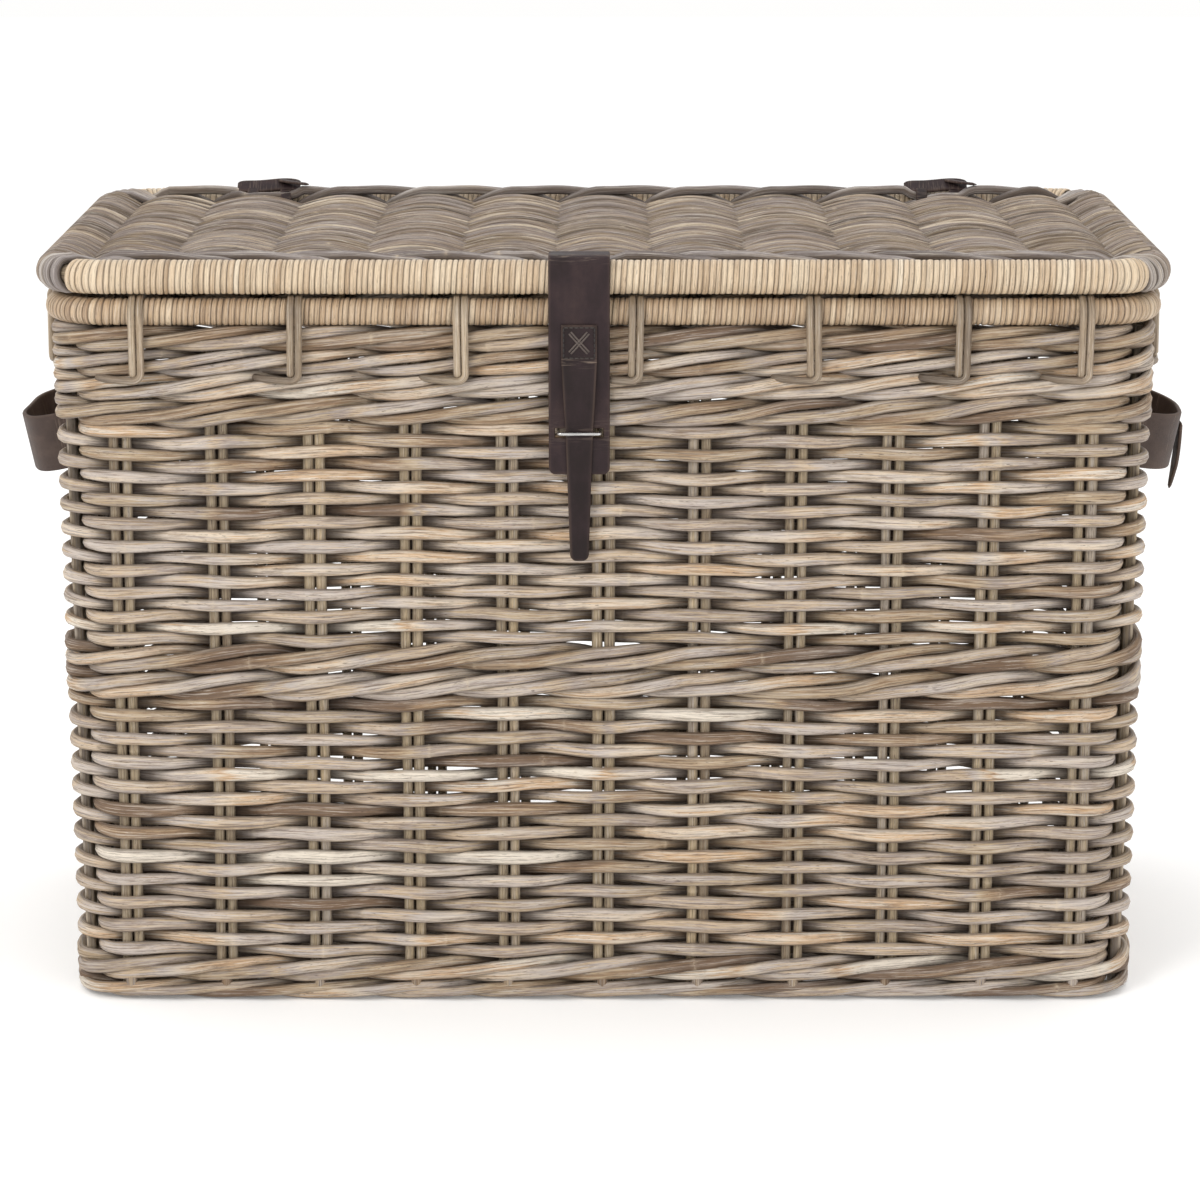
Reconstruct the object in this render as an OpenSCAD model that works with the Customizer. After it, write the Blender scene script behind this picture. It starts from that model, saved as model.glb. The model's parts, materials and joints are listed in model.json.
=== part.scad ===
// Woven rattan storage trunk with a hinged lid, a leather closing strap and two leather handles.
// Millimetres, +Z up, the front faces -Y, and the origin is at the middle of the underside.

/* [Trunk walls] */
// Distance between the centrelines of the side stakes at the floor
stake_span_w = 750; // [600:10:900]
// Distance between the centrelines of the front and back stakes at the floor
stake_span_d = 396; // [340:4:480]
// How far each wall leans out, in millimetres for each metre of height
lean = 11; // [0:1:20]
// Corner radius of the stake centreline
corner_r = 34; // [28:1:44]
// Distance between neighbouring pairs of stakes
stake_pitch = 68.4; // [66:0.1:70]
// Pairs of stakes on each side of the middle pair, front and back
front_pairs = 5; // [4:1:5]
// Pairs of stakes on each half of a side wall
side_pairs = 3; // [2:1:3]
// Radius of one stake
stake_r = 3.9; // [3:0.1:4.2]
// Distance between the two stakes of a pair
stake_gap = 8.5; // [8.4:0.1:9.5]
// How far the plain weave stands out from the stake centreline
weave_out = 11.5; // [10:0.5:13]
// How far the wales stand out from the stake centreline
wale_out = 15.5; // [13:0.5:17]

/* [Heights] */
// Top of the foot border
foot_top = 31; // [24:1:40]
// Top of the lower plain weave
lower_top = 225; // [200:5:240]
// Top of the middle wale
middle_top = 264; // [255:1:275]
// Top of the upper plain weave
upper_top = 424; // [420:1:430]
// Top of the upper wale
wall_top = 494.8; // [494:0.1:495]
// Thickness of the woven base
base_t = 22; // [18:1:26]

/* [Rim] */
// Height of the rim rod's centreline
rim_z = 505; // [505:0.5:506]
// Radius of the rim rod
rim_core_r = 8; // [6:0.5:8]
// Outer radius of the cane wound round the rim rod
rim_r = 9.8; // [9:0.1:9.8]
// Radius of one rod of a rim tie
tie_r = 2.7; // [2:0.1:2.8]
// Places of the ties along the front
front_ties = [-327, -216, -100, 23, 147, 252, 338];
// Places of the ties along the back
back_ties = [-330, -215, -100, 0, 100, 215, 330];
// Places of the ties along each side
side_ties = [-120, 0, 120];

/* [Lid] */
// Height of the lid rod's centreline
lid_z = 529.8; // [529.8:0.1:531]
// Radius of the lid rod
lid_core_r = 9; // [7:0.5:9]
// Outer radius of the cane on the front and back of the lid rod
lid_r = 12.4; // [11:0.1:12.4]
// Outer radius of the weavers wound round the ends of the lid
lid_edge_r = 13; // [12:0.1:13]
// Thickness of the lid's weave
lid_t = 24; // [20:1:24]

/* [Closing strap] */
// Centre of the closing strap along the front
strap_x = -17; // [-30:1:30]
// Width of the closing strap
strap_w = 43; // [38:1:50]
// Thickness of the closing strap
strap_t = 3.5; // [3:0.1:4]
// Height of the strap's lower end
strap_end_z = 391; // [380:1:400]
// How far the hanging strap leans in, in degrees
strap_lean = 2.8; // [2:0.1:3]
// Height of the staple
staple_z = 421; // [415:1:421]
// Radius of the staple's wire
staple_r = 1.2; // [1:0.1:1.5]
// Width of the staple between its legs' centres
staple_w = 29.6; // [28:0.1:31]
// Side of the tongue's sewn end
patch_s = 25; // [20:1:28]
// Height of the line where the tongue bends
tongue_z = 472; // [465:1:480]
// Thickness of the tongue
tongue_t = 2.5; // [2:0.1:3]
// Height of the tongue's tip
tongue_end_z = 329; // [320:1:340]
// Width of the tongue at its tip
tongue_tip_w = 13.4; // [10:0.1:16]

/* [Handles and hinge straps] */
// Height of the handles where they leave the wall
handle_z = 389; // [385:1:392]
// Width of a handle strap
handle_w = 42; // [36:1:42]
// Thickness of a handle strap
handle_t = 3.5; // [3:0.1:4]
// How far a handle stands out from its hinge line
handle_reach = 37; // [30:1:45]
// How far a handle droops, in degrees
handle_droop = 12; // [5:1:14]
// Distance of each hinge strap from the middle
hinge_strap_x = 265; // [255:1:275]
// Distance between the two thongs of a hinge strap
thong_gap = 26; // [20:1:30]
// Width of a thong
thong_w = 9; // [6:1:10]
// Thickness of a thong
thong_t = 3; // [2.5:0.1:3]

/* [Hidden] */
$fn = 48;
rattan = [0.66, 0.58, 0.48];
rattan_dark = [0.52, 0.45, 0.37];
cane = [0.80, 0.70, 0.54];
leather = [0.23, 0.19, 0.18];
steel = [0.75, 0.75, 0.76];
thread = [0.12, 0.10, 0.09];
eps = 0.01;
channel = 0.3;          // room round a pair of stakes or ribs
fit = 0.2;              // room between a rod and what is wound round it
lean_deg = atan(lean / 1000);
half_w = stake_span_w / 2;
half_d = stake_span_d / 2;
rim_out = 5.5;          // the rim rod lies this far outside the stakes
lid_out = 3;            // and the lid rod this far outside the rim rod
rim_hw = plane_w(rim_z) + rim_out;
rim_hd = plane_d(rim_z) + rim_out;
lid_hw = rim_hw + lid_out;
lid_hd = rim_hd + lid_out;
rim_corner = corner_r + rim_out;
lid_corner = rim_corner + lid_out;
tie_band_t = 2;         // a tie is flattened where it passes under the lid
tie_leg_z = 460;        // and is tucked into the wale at this height
tie_room = 0.15;
stake_top = wall_top - 4.3;              // below the thongs of the hinge straps
strap_y = -(lid_hd + lid_r + 0.3);       // inner face of the strap at its bend
bend_y = strap_y - strap_t / 2;          // the bend's axis, level with the lid rod
handle_slot_y = stake_pitch;
handle_axis_x = plane_w(handle_z) + weave_out + 4.2;
handle_r = (pow(handle_slot_y, 2) + pow(handle_reach, 2)) / (2 * handle_reach);
handle_inner_x = plane_w(handle_z) - weave_out - handle_t - 0.6;
slot_w = handle_t + 1.5;
slot_h = handle_w + 12;
thong_in = 0.4;         // room between a thong and the rods it holds

// Centreline of the side stakes and of the front and back stakes at height z
function plane_w(z) = half_w + z * lean / 1000;
function plane_d(z) = half_d + z * lean / 1000;

// A solid rounded block that leans with the walls, out millimetres outside the stakes
module leaning_block(z0, z1, out) {
    r = corner_r + out;
    hull()
        for (z = [z0, z1 - eps], sx = [-1, 1], sy = [-1, 1])
            translate([sx * (plane_w(z) + out - r), sy * (plane_d(z) + out - r), z])
                cylinder(h = eps, r = r);
}

// Room for the pairs of stakes in a band of weave
module stake_channels() {
    long = 2 * stake_r + stake_gap + channel * 2;
    wide = 2 * stake_r + channel * 2;
    for (s = [-1, 1]) {
        for (i = [-front_pairs : front_pairs])
            translate([i * stake_pitch, s * half_d, 0])
                rotate([-s * lean_deg, 0, 0])
                    translate([-long / 2, -wide / 2, 0.5])
                        cube([long, wide, 520]);
        for (i = [0 : side_pairs - 1], t = [-1, 1])
            translate([s * half_w, t * (i + 0.5) * stake_pitch, 0])
                rotate([0, s * lean_deg, 0])
                    translate([-wide / 2, -long / 2, 0.5])
                        cube([wide, long, 520]);
    }
}

// One band of the wall
module band(z0, z1, out) {
    difference() {
        leaning_block(z0, z1, out);
        leaning_block(z0 - 1, z1 + 1, -weave_out);
        stake_channels();
    }
}

// A pair of stakes standing on the floor end of its channel
module stake_pair() {
    for (t = [-1, 1])
        translate([0, t * stake_gap / 2, 1])
            cylinder(h = stake_top - 1, r = stake_r);
}

// A rod bent into a rounded rectangle
module rod_ring(hw, hd, cr, r, z) {
    translate([0, 0, z]) {
        for (s = [-1, 1]) {
            translate([-(hw - cr), s * hd, 0])
                rotate([0, 90, 0])
                    cylinder(h = 2 * (hw - cr), r = r);
            translate([s * hw, -(hd - cr), 0])
                rotate([-90, 0, 0])
                    cylinder(h = 2 * (hd - cr), r = r);
        }
        for (a = [0, 90, 180, 270]) {
            sx = (a == 0 || a == 270) ? 1 : -1;
            sy = (a < 180) ? 1 : -1;
            translate([sx * (hw - cr), sy * (hd - cr), 0])
                rotate([0, 0, a])
                    rotate_extrude(angle = 90)
                        translate([cr, 0])
                            circle(r = r);
        }
    }
}

// What is wound round the lid rod, all the way round
module lid_wrap_ring(r) {
    difference() {
        rod_ring(lid_hw, lid_hd, lid_corner, r, lid_z);
        rod_ring(lid_hw, lid_hd, lid_corner, lid_core_r + fit, lid_z);
    }
}

// The part of the lid rod's wrap that lies inside an outline
module lid_wrap_part(r, outline) {
    intersection() {
        lid_wrap_ring(r);
        translate([0, 0, lid_z - 2 * r])
            linear_extrude(4 * r)
                polygon(outline);
    }
}

// One tie: flat over the rim rod, then two round legs down the outside, drawn for the front wall
module rim_tie(hd) {
    in_r = rim_r + tie_room;
    band_r = in_r + tie_band_t;
    leg_y = -(in_r + tie_r);
    translate([0, -hd, rim_z]) {
        rotate([0, 90, 0])
            translate([0, 0, -2 * tie_r])
                rotate([0, 0, 90])
                    rotate_extrude(angle = 180)
                        translate([in_r, 0])
                            square([tie_band_t, 4 * tie_r]);
        for (t = [-1, 1])
            translate([t * tie_r, leg_y, tie_leg_z - rim_z])
                cylinder(h = rim_z - tie_leg_z, r = tie_r - 0.05);
    }
    translate([-2 * tie_r, -hd + in_r, rim_z - 6])
        cube([4 * tie_r, tie_band_t, 6]);
}

module base_weave() color(rattan) {
    long = 2 * stake_r + stake_gap + channel * 2;
    wide = 2 * stake_r + channel * 2;
    side = weave_out + 0.3;
    difference() {
        hull()
            for (sx = [-1, 1], sy = [-1, 1])
                translate([sx * (half_w - corner_r), sy * (half_d - corner_r), 0])
                    cylinder(h = base_t, r = corner_r - side);
        for (i = [-front_pairs : front_pairs])
            translate([i * stake_pitch - long / 2, -half_d, (base_t - wide) / 2])
                cube([long, stake_span_d, wide]);
    }
}

module base_sticks() color(rattan_dark) {
    for (i = [-front_pairs : front_pairs], t = [-1, 1])
        translate([i * stake_pitch + t * stake_gap / 2, -(half_d - weave_out - 2), base_t / 2])
            rotate([-90, 0, 0])
                cylinder(h = stake_span_d - 2 * (weave_out + 2), r = stake_r);
}

module foot_border() color(rattan) band(0, foot_top, wale_out);

module lower_weave() color(rattan) band(foot_top, lower_top, weave_out);

module middle_wale() color(rattan) band(lower_top, middle_top, wale_out);

module upper_weave() color(rattan) {
    difference() {
        band(middle_top, upper_top, weave_out);
        for (sx = [-1, 1], sy = [-1, 1])
            translate([sx * plane_w(handle_z) - 30, sy * handle_slot_y - slot_w / 2, handle_z - slot_h / 2])
                cube([60, slot_w, slot_h]);
        staple_holes();
    }
}

// Room for the staple's two legs
module staple_holes() {
    for (t = [-1, 1])
        translate([strap_x + t * staple_w / 2, -(half_d + 40), staple_z])
            rotate([-90, 0, 0])
                cylinder(h = 60, r = staple_r + 0.2);
}

module upper_wale() color(rattan) {
    difference() {
        band(upper_top, wall_top, wale_out);
        for (s = [-1, 1])
            translate([s * hinge_strap_x - (thong_gap + thong_w) / 2 - 1, rim_hd - 25, wall_top - 4])
                cube([thong_gap + thong_w + 2, 50, 10]);
    }
}

module stakes_wall(s) color(rattan_dark) {
    for (i = [-front_pairs : front_pairs])
        translate([i * stake_pitch, s * half_d, 0])
            rotate([-s * lean_deg, 0, 0])
                rotate([0, 0, 90])
                    stake_pair();
}

module stakes_side(s) color(rattan_dark) {
    for (i = [0 : side_pairs - 1], t = [-1, 1])
        translate([s * half_w, t * (i + 0.5) * stake_pitch, 0])
            rotate([0, s * lean_deg, 0])
                stake_pair();
}

module stakes_front() color(rattan_dark) {
    difference() {
        stakes_wall(-1);
        staple_holes();
    }
}

module stakes_back() stakes_wall(1);

module stakes_left() stakes_side(-1);

module stakes_right() stakes_side(1);

module rim_rod() color(rattan_dark) rod_ring(rim_hw, rim_hd, rim_corner, rim_core_r, rim_z);

module rim_cane() color(cane) {
    difference() {
        rod_ring(rim_hw, rim_hd, rim_corner, rim_r, rim_z);
        rod_ring(rim_hw, rim_hd, rim_corner, rim_core_r + fit, rim_z);
    }
}

module rim_ties_front() color(cane) {
    for (x = front_ties)
        translate([x, 0, 0])
            rim_tie(rim_hd);
}

module rim_ties_back() color(cane) {
    for (x = back_ties)
        translate([x, 0, 0])
            rotate([0, 0, 180])
                rim_tie(rim_hd);
}

module rim_ties_left() color(cane) {
    for (y = side_ties)
        translate([0, y, 0])
            rotate([0, 0, -90])
                rim_tie(rim_hw);
}

module rim_ties_right() color(cane) {
    for (y = side_ties)
        translate([0, y, 0])
            rotate([0, 0, 90])
                rim_tie(rim_hw);
}

// Where the leaning strap's plane is at height z, measured at its inner face
function strap_face_y(z) = strap_y + (lid_z - z) * tan(strap_lean);

staple_y = strap_face_y(staple_z) - strap_t - tongue_t - 1.2 - staple_r;
plate_y = -(plane_d(staple_z) - weave_out) + 0.2;
plate_t = 1.5;
clench = 9;

module staple() color(steel) {
    legs = plate_y + plate_t + 0.2 + staple_r - staple_y;
    translate([strap_x, staple_y, staple_z]) {
        translate([-staple_w / 2, 0, 0])
            rotate([0, 90, 0])
                cylinder(h = staple_w, r = staple_r);
        for (t = [-1, 1])
            translate([t * staple_w / 2, 0, 0]) {
                sphere(r = staple_r);
                rotate([-90, 0, 0])
                    cylinder(h = legs, r = staple_r);
                translate([0, legs, 0]) {
                    sphere(r = staple_r);
                    rotate([0, -t * 90, 0])
                        cylinder(h = clench, r = staple_r);
                }
            }
    }
}

module staple_plate() color(leather) {
    difference() {
        translate([strap_x - staple_w / 2 - 8, plate_y, staple_z - 9])
            cube([staple_w + 16, plate_t, 18]);
        for (t = [-1, 1])
            translate([strap_x + t * staple_w / 2, plate_y - 1, staple_z])
                rotate([-90, 0, 0])
                    cylinder(h = plate_t + 2, r = staple_r + 0.1);
    }
}

// Two thongs round the back rods of the rim and the lid, joined by a strip on top
module hinge_strap(s) color(leather) {
    for (t = [-1, 1])
        translate([s * hinge_strap_x + t * thong_gap / 2 - thong_w / 2, 0, 0])
            rotate([90, 0, 90])
                difference() {
                    linear_extrude(thong_w)
                        hull() thong_outline(thong_in + thong_t);
                    translate([0, 0, -1])
                        linear_extrude(thong_w + 2)
                            hull() thong_outline(thong_in);
                }
    translate([s * hinge_strap_x - 24, lid_hd - 6, lid_z + lid_r + thong_in + thong_t - 0.2])
        cube([48, 12, thong_t]);
}

module thong_outline(out) {
    translate([rim_hd, rim_z]) circle(r = rim_r + out);
    translate([lid_hd, lid_z]) circle(r = lid_r + out);
}

module hinge_strap_left() hinge_strap(-1);

module hinge_strap_right() hinge_strap(1);

module lid_frame_rod() color(rattan_dark) rod_ring(lid_hw, lid_hd, lid_corner, lid_core_r, lid_z);

reach_w = lid_hw - lid_corner;
reach_d = lid_hd - lid_corner;
past = 2 * lid_corner;

// The front (s = -1) or back run with half of each corner
module lid_cane(s) color(cane)
    lid_wrap_part(lid_r, [
        [-reach_w, s * reach_d], [-reach_w - past, s * (reach_d + past)],
        [reach_w + past, s * (reach_d + past)], [reach_w, s * reach_d]
    ]);

module lid_cane_front() lid_cane(-1);

module lid_cane_back() lid_cane(1);

// The left (s = -1) or right end with the other half of each corner
module lid_end(s) color(rattan)
    lid_wrap_part(lid_edge_r, [
        [s * reach_w, -reach_d], [s * (reach_w + past), -reach_d - past],
        [s * (reach_w + past), reach_d + past], [s * reach_w, reach_d]
    ]);

module lid_end_left() lid_end(-1);

module lid_end_right() lid_end(1);

lid_gap = 0.5;
lid_weave_hw = lid_hw - lid_edge_r - lid_gap;
lid_weave_hd = lid_hd - lid_edge_r - lid_gap;
lid_weave_r = lid_corner - lid_edge_r - lid_gap;

module lid_ribs() color(rattan_dark) {
    rib_hd = lid_weave_hd - 4.5;
    for (i = [-front_pairs : front_pairs], t = [-1, 1])
        translate([i * stake_pitch + t * stake_gap / 2, -rib_hd, lid_z])
            rotate([-90, 0, 0])
                cylinder(h = 2 * rib_hd, r = stake_r);
}

module lid_weave() color(rattan) {
    long = 2 * stake_r + stake_gap + channel * 2;
    wide = 2 * stake_r + channel * 2;
    loop_w = strap_w + 1;
    loop_d = strap_t + 1;
    difference() {
        hull()
            for (sx = [-1, 1], sy = [-1, 1])
                translate([sx * (lid_weave_hw - lid_weave_r), sy * (lid_weave_hd - lid_weave_r), lid_z - lid_t / 2])
                    cylinder(h = lid_t, r = lid_weave_r);
        for (i = [-front_pairs : front_pairs])
            translate([i * stake_pitch - long / 2, -lid_hd, lid_z - wide / 2])
                cube([long, 2 * lid_hd, wide]);
        for (s = [-1, 1])
            translate([s * hinge_strap_x - (thong_gap + thong_w) / 2 - 1, lid_weave_hd - thong_t - 1, lid_z - lid_t])
                cube([thong_gap + thong_w + 2, 10, 2 * lid_t]);
        translate([strap_x - loop_w / 2, -lid_weave_hd - 5, lid_z - lid_t])
            cube([loop_w, loop_d + 5, 2 * lid_t]);
    }
}

// The end of the closing strap that is wrapped round the lid's front rod, with its tail under the lid
tail_l = 34;
tail_z = lid_z - lid_t / 2 - strap_t - 0.3;
loop_r = lid_r + 0.3;

module strap_loop() color(leather) {
    translate([strap_x - strap_w / 2, -lid_hd, lid_z]) {
        rotate([90, 0, 90])
            rotate_extrude(angle = 172)
                translate([loop_r, 0])
                    square([strap_t, strap_w]);
        translate([0, loop_r, tail_z - lid_z])
            cube([strap_w, strap_t, lid_z - tail_z]);
        translate([0, loop_r, tail_z - lid_z])
            cube([strap_w, tail_l, strap_t]);
    }
}

rivet_r = 3.2;

module strap_rivets() color(steel) {
    for (t = [-1, 1])
        translate([strap_x + t * strap_w / 4, -lid_hd + loop_r + tail_l - 8, tail_z - 1.6])
            cylinder(h = 1.5, r = rivet_r);
}

// A frame whose Z runs up the leaning strap, Y = 0 is the strap's inner face and X = 0 its middle
module on_strap() {
    translate([strap_x, bend_y, lid_z])
        rotate([strap_lean, 0, 0])
            translate([0, strap_t / 2, 0])
                children();
}

function down(z) = (lid_z - z) / cos(strap_lean);

module strap_flap() color(leather) {
    slot_l = staple_w + 5;
    slot_hh = 9;
    round_r = 8;
    drop = down(strap_end_z);
    on_strap()
        difference() {
            union() {
                rotate([90, 0, 0])
                    linear_extrude(strap_t) {
                        translate([-strap_w / 2, -drop + round_r])
                            square([strap_w, drop - round_r - strap_t / 2]);
                        translate([-strap_w / 2 + round_r, -drop])
                            square([strap_w - 2 * round_r, round_r + 1]);
                        for (t = [-1, 1])
                            translate([t * (strap_w / 2 - round_r), -drop + round_r])
                                circle(r = round_r);
                    }
                translate([-strap_w / 2, -strap_t / 2, 0])
                    rotate([0, 90, 0])
                        cylinder(h = strap_w, r = strap_t / 2);
                translate([-strap_w / 2, -strap_t, -strap_t / 2 - 1])
                    cube([strap_w, strap_t, strap_t / 2 + 1]);
            }
            translate([-slot_l / 2, -strap_t - 1, -down(staple_z) - slot_hh / 2])
                cube([slot_l, strap_t + 2, slot_hh]);
        }
}

face_gap = 0.1;

module tongue_patch() color(leather) {
    on_strap()
        translate([-patch_s / 2, -strap_t - face_gap - tongue_t, -down(tongue_z) + 1.5])
            cube([patch_s, tongue_t, patch_s]);
}

module strap_stitches() color(thread) {
    in_s = patch_s / 2 - 2.5;
    steps = 6;
    on_strap()
        translate([0, -strap_t - 2 * face_gap - tongue_t, -down(tongue_z) + 1.5 + patch_s / 2])
            rotate([90, 0, 0]) {
                for (a = [0, 90, 180, 270], i = [0 : steps - 1])
                    rotate([0, 0, a])
                        translate([-in_s + (i + 0.5) * 2 * in_s / steps, in_s, 0])
                            stitch();
                for (a = [45, 135], i = [-2.5 : 1 : 2.5])
                    rotate([0, 0, a])
                        translate([i * 3.4, 0, 0])
                            stitch();
            }
}

module stitch() {
    translate([-1.2, -0.4, 0])
        cube([2.4, 0.8, 0.5]);
}

module tongue() color(leather) {
    length = down(tongue_end_z) - down(tongue_z);
    tip = tongue_tip_w / 2;
    on_strap()
        translate([0, -strap_t - face_gap - tongue_t / 2, -down(tongue_z)]) {
            translate([0, tongue_t / 2, 0])
                rotate([90, 0, 0])
                    linear_extrude(tongue_t) {
                        polygon([
                            [-patch_s / 2, 0], [patch_s / 2, 0],
                            [tip, -length + tip], [-tip, -length + tip]
                        ]);
                        translate([0, -length + tip])
                            circle(r = tip);
                    }
            translate([-patch_s / 2, 0, 0])
                rotate([0, 90, 0])
                    cylinder(h = patch_s, r = tongue_t / 2);
        }
}

// One leather handle, drawn for the right-hand wall: an arch outside and a flat run inside
module handle() color(leather) {
    leg_l = handle_axis_x - handle_inner_x;
    half_a = asin(handle_slot_y / handle_r);
    translate([handle_inner_x, -handle_slot_y - handle_t / 2, handle_z - handle_w / 2])
        cube([handle_t, 2 * handle_slot_y + handle_t, handle_w]);
    for (t = [-1, 1])
        translate([handle_inner_x, t * handle_slot_y - handle_t / 2, handle_z - handle_w / 2])
            cube([leg_l, handle_t, handle_w]);
    translate([handle_axis_x, 0, handle_z])
        rotate([0, handle_droop, 0])
            translate([handle_reach - handle_r, 0, -handle_w / 2])
                rotate([0, 0, -half_a])
                    rotate_extrude(angle = 2 * half_a)
                        translate([handle_r - handle_t / 2, 0])
                            square([handle_t, handle_w]);
}

module handle_right() handle();

module handle_left() mirror([1, 0, 0]) handle();

base_weave();
base_sticks();
foot_border();
lower_weave();
middle_wale();
upper_weave();
upper_wale();
stakes_front();
stakes_back();
stakes_left();
stakes_right();
rim_rod();
rim_cane();
rim_ties_front();
rim_ties_back();
rim_ties_left();
rim_ties_right();
staple();
staple_plate();
hinge_strap_left();
hinge_strap_right();
lid_frame_rod();
lid_cane_front();
lid_cane_back();
lid_end_left();
lid_end_right();
lid_ribs();
lid_weave();
strap_loop();
strap_rivets();
strap_flap();
tongue_patch();
strap_stitches();
tongue();
handle_left();
handle_right();
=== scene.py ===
"""The wicker trunk's looks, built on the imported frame: every rod, wrap and strap is its own geometry."""

import json
import math
from math import pi

import bpy
import numpy as np
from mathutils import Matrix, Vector


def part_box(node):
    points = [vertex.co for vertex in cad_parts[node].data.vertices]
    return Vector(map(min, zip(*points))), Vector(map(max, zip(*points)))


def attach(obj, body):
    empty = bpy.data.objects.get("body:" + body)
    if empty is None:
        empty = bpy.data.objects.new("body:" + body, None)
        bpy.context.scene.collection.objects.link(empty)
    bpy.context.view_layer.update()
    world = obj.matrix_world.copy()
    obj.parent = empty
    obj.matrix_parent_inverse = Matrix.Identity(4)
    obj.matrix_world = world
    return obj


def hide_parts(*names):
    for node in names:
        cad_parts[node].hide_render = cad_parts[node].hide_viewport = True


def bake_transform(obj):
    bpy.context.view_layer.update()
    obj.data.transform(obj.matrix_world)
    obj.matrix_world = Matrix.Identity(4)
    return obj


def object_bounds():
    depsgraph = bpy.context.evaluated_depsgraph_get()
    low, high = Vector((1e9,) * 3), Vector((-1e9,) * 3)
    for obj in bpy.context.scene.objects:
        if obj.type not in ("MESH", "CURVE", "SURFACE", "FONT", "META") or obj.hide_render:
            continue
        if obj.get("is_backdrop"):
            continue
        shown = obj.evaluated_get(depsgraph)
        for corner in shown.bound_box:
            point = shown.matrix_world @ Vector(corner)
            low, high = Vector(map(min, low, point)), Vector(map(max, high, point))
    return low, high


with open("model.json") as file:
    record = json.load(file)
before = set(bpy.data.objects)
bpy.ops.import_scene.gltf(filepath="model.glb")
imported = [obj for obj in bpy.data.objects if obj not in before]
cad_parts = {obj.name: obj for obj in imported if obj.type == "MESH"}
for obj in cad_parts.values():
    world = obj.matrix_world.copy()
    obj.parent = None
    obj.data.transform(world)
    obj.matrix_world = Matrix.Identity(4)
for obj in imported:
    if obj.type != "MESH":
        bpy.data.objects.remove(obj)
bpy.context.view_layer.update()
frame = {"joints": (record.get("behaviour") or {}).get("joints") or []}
rng = np.random.default_rng(11)
MM = 0.001
UP = np.array([0, 0, 1.0])

# ---- the frame's measures, in metres
HALF_W, HALF_D, CORNER = 0.375, 0.198, 0.034      # centreline of the stakes at the floor
LEAN = 0.011                                      # how far the walls lean out per metre of height
PITCH, PAIR_GAP, STAKE_R = 0.0684, 0.0085, 0.0039
FOOT_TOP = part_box("foot_border")[1].z
LOWER_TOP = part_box("lower_weave")[1].z
MIDDLE_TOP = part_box("middle_wale")[1].z
UPPER_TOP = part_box("upper_weave")[1].z
WALL_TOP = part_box("upper_wale")[1].z
BASE_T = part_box("base_weave")[1].z
RIM_LO, RIM_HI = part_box("rim_cane")
RIM_Z, RIM_R = (RIM_LO.z + RIM_HI.z) / 2, (RIM_HI.z - RIM_LO.z) / 2
RIM_W, RIM_D = RIM_HI.x - RIM_R, RIM_HI.y - RIM_R
RIM_CORNER = 0.0395
CANE_LO, CANE_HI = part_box("lid_cane_front")
LID_Z, LID_R = (CANE_LO.z + CANE_HI.z) / 2, (CANE_HI.z - CANE_LO.z) / 2
EDGE_LO, EDGE_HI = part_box("lid_end_right")
EDGE_R = (EDGE_HI.z - EDGE_LO.z) / 2
LID_W, LID_D = EDGE_HI.x - EDGE_R, -CANE_LO.y - LID_R
LID_CORNER = 0.0425
RIM_RING, LID_RING = (RIM_W, RIM_D, RIM_CORNER), (LID_W, LID_D, LID_CORNER)
STRAP_LO, STRAP_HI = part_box("strap_loop")
STRAP_X, STRAP_HALF = (STRAP_LO.x + STRAP_HI.x) / 2, (STRAP_HI.x - STRAP_LO.x) / 2


# ---- numbers along lines
def smooth01(x):
    x = np.clip(x, 0, 1)
    return x * x * (3 - 2 * x)


def unit(v):
    return v / (np.linalg.norm(v, axis=-1) + 1e-12)[..., None]


def run_of(path):
    """The distance along path at each of its points."""
    return np.concatenate([[0], np.cumsum(np.linalg.norm(np.diff(path, axis=0), axis=1))])


def bump_at(x, size, at, width):
    return size * np.exp(-((x - at) / width) ** 2)


def wander(s, size, reach=0.12):
    """A gentle random drift along s, of about that size."""
    return sum(size / 1.6 * math.sqrt(1 / q) * np.sin(s / reach * 2.1 * q + rng.uniform(0, 6.3))
               for q in (1, 2.3, 4.1))


def rod_samples(a, b, step=0.0055, joint_gap=(0.14, 0.34)):
    """Places along a rod from a to b: even steps, closer at its joints, and how strongly each is a joint."""
    base = np.linspace(a, b, max(6, int((b - a) / step)))
    joints = a + np.cumsum(rng.uniform(*joint_gap, size=int((b - a) / joint_gap[0]) + 2))
    joints = joints - rng.uniform(0, joint_gap[1])
    joints = joints[(joints > a + 0.01) & (joints < b - 0.01)]
    near = (joints[:, None] + np.array([-4.2, -1.6, 0, 1.6, 4.2]) * MM).ravel()
    s = np.unique(np.concatenate([base, near]))
    s = s[np.concatenate([[True], np.diff(s) > 0.6 * MM])]
    mark = np.zeros(len(s))
    for q in joints:
        mark = np.maximum(mark, bump_at(s, 1, q, 1.6 * MM) * rng.uniform(0.35, 1.0))
    return s, mark


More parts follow.
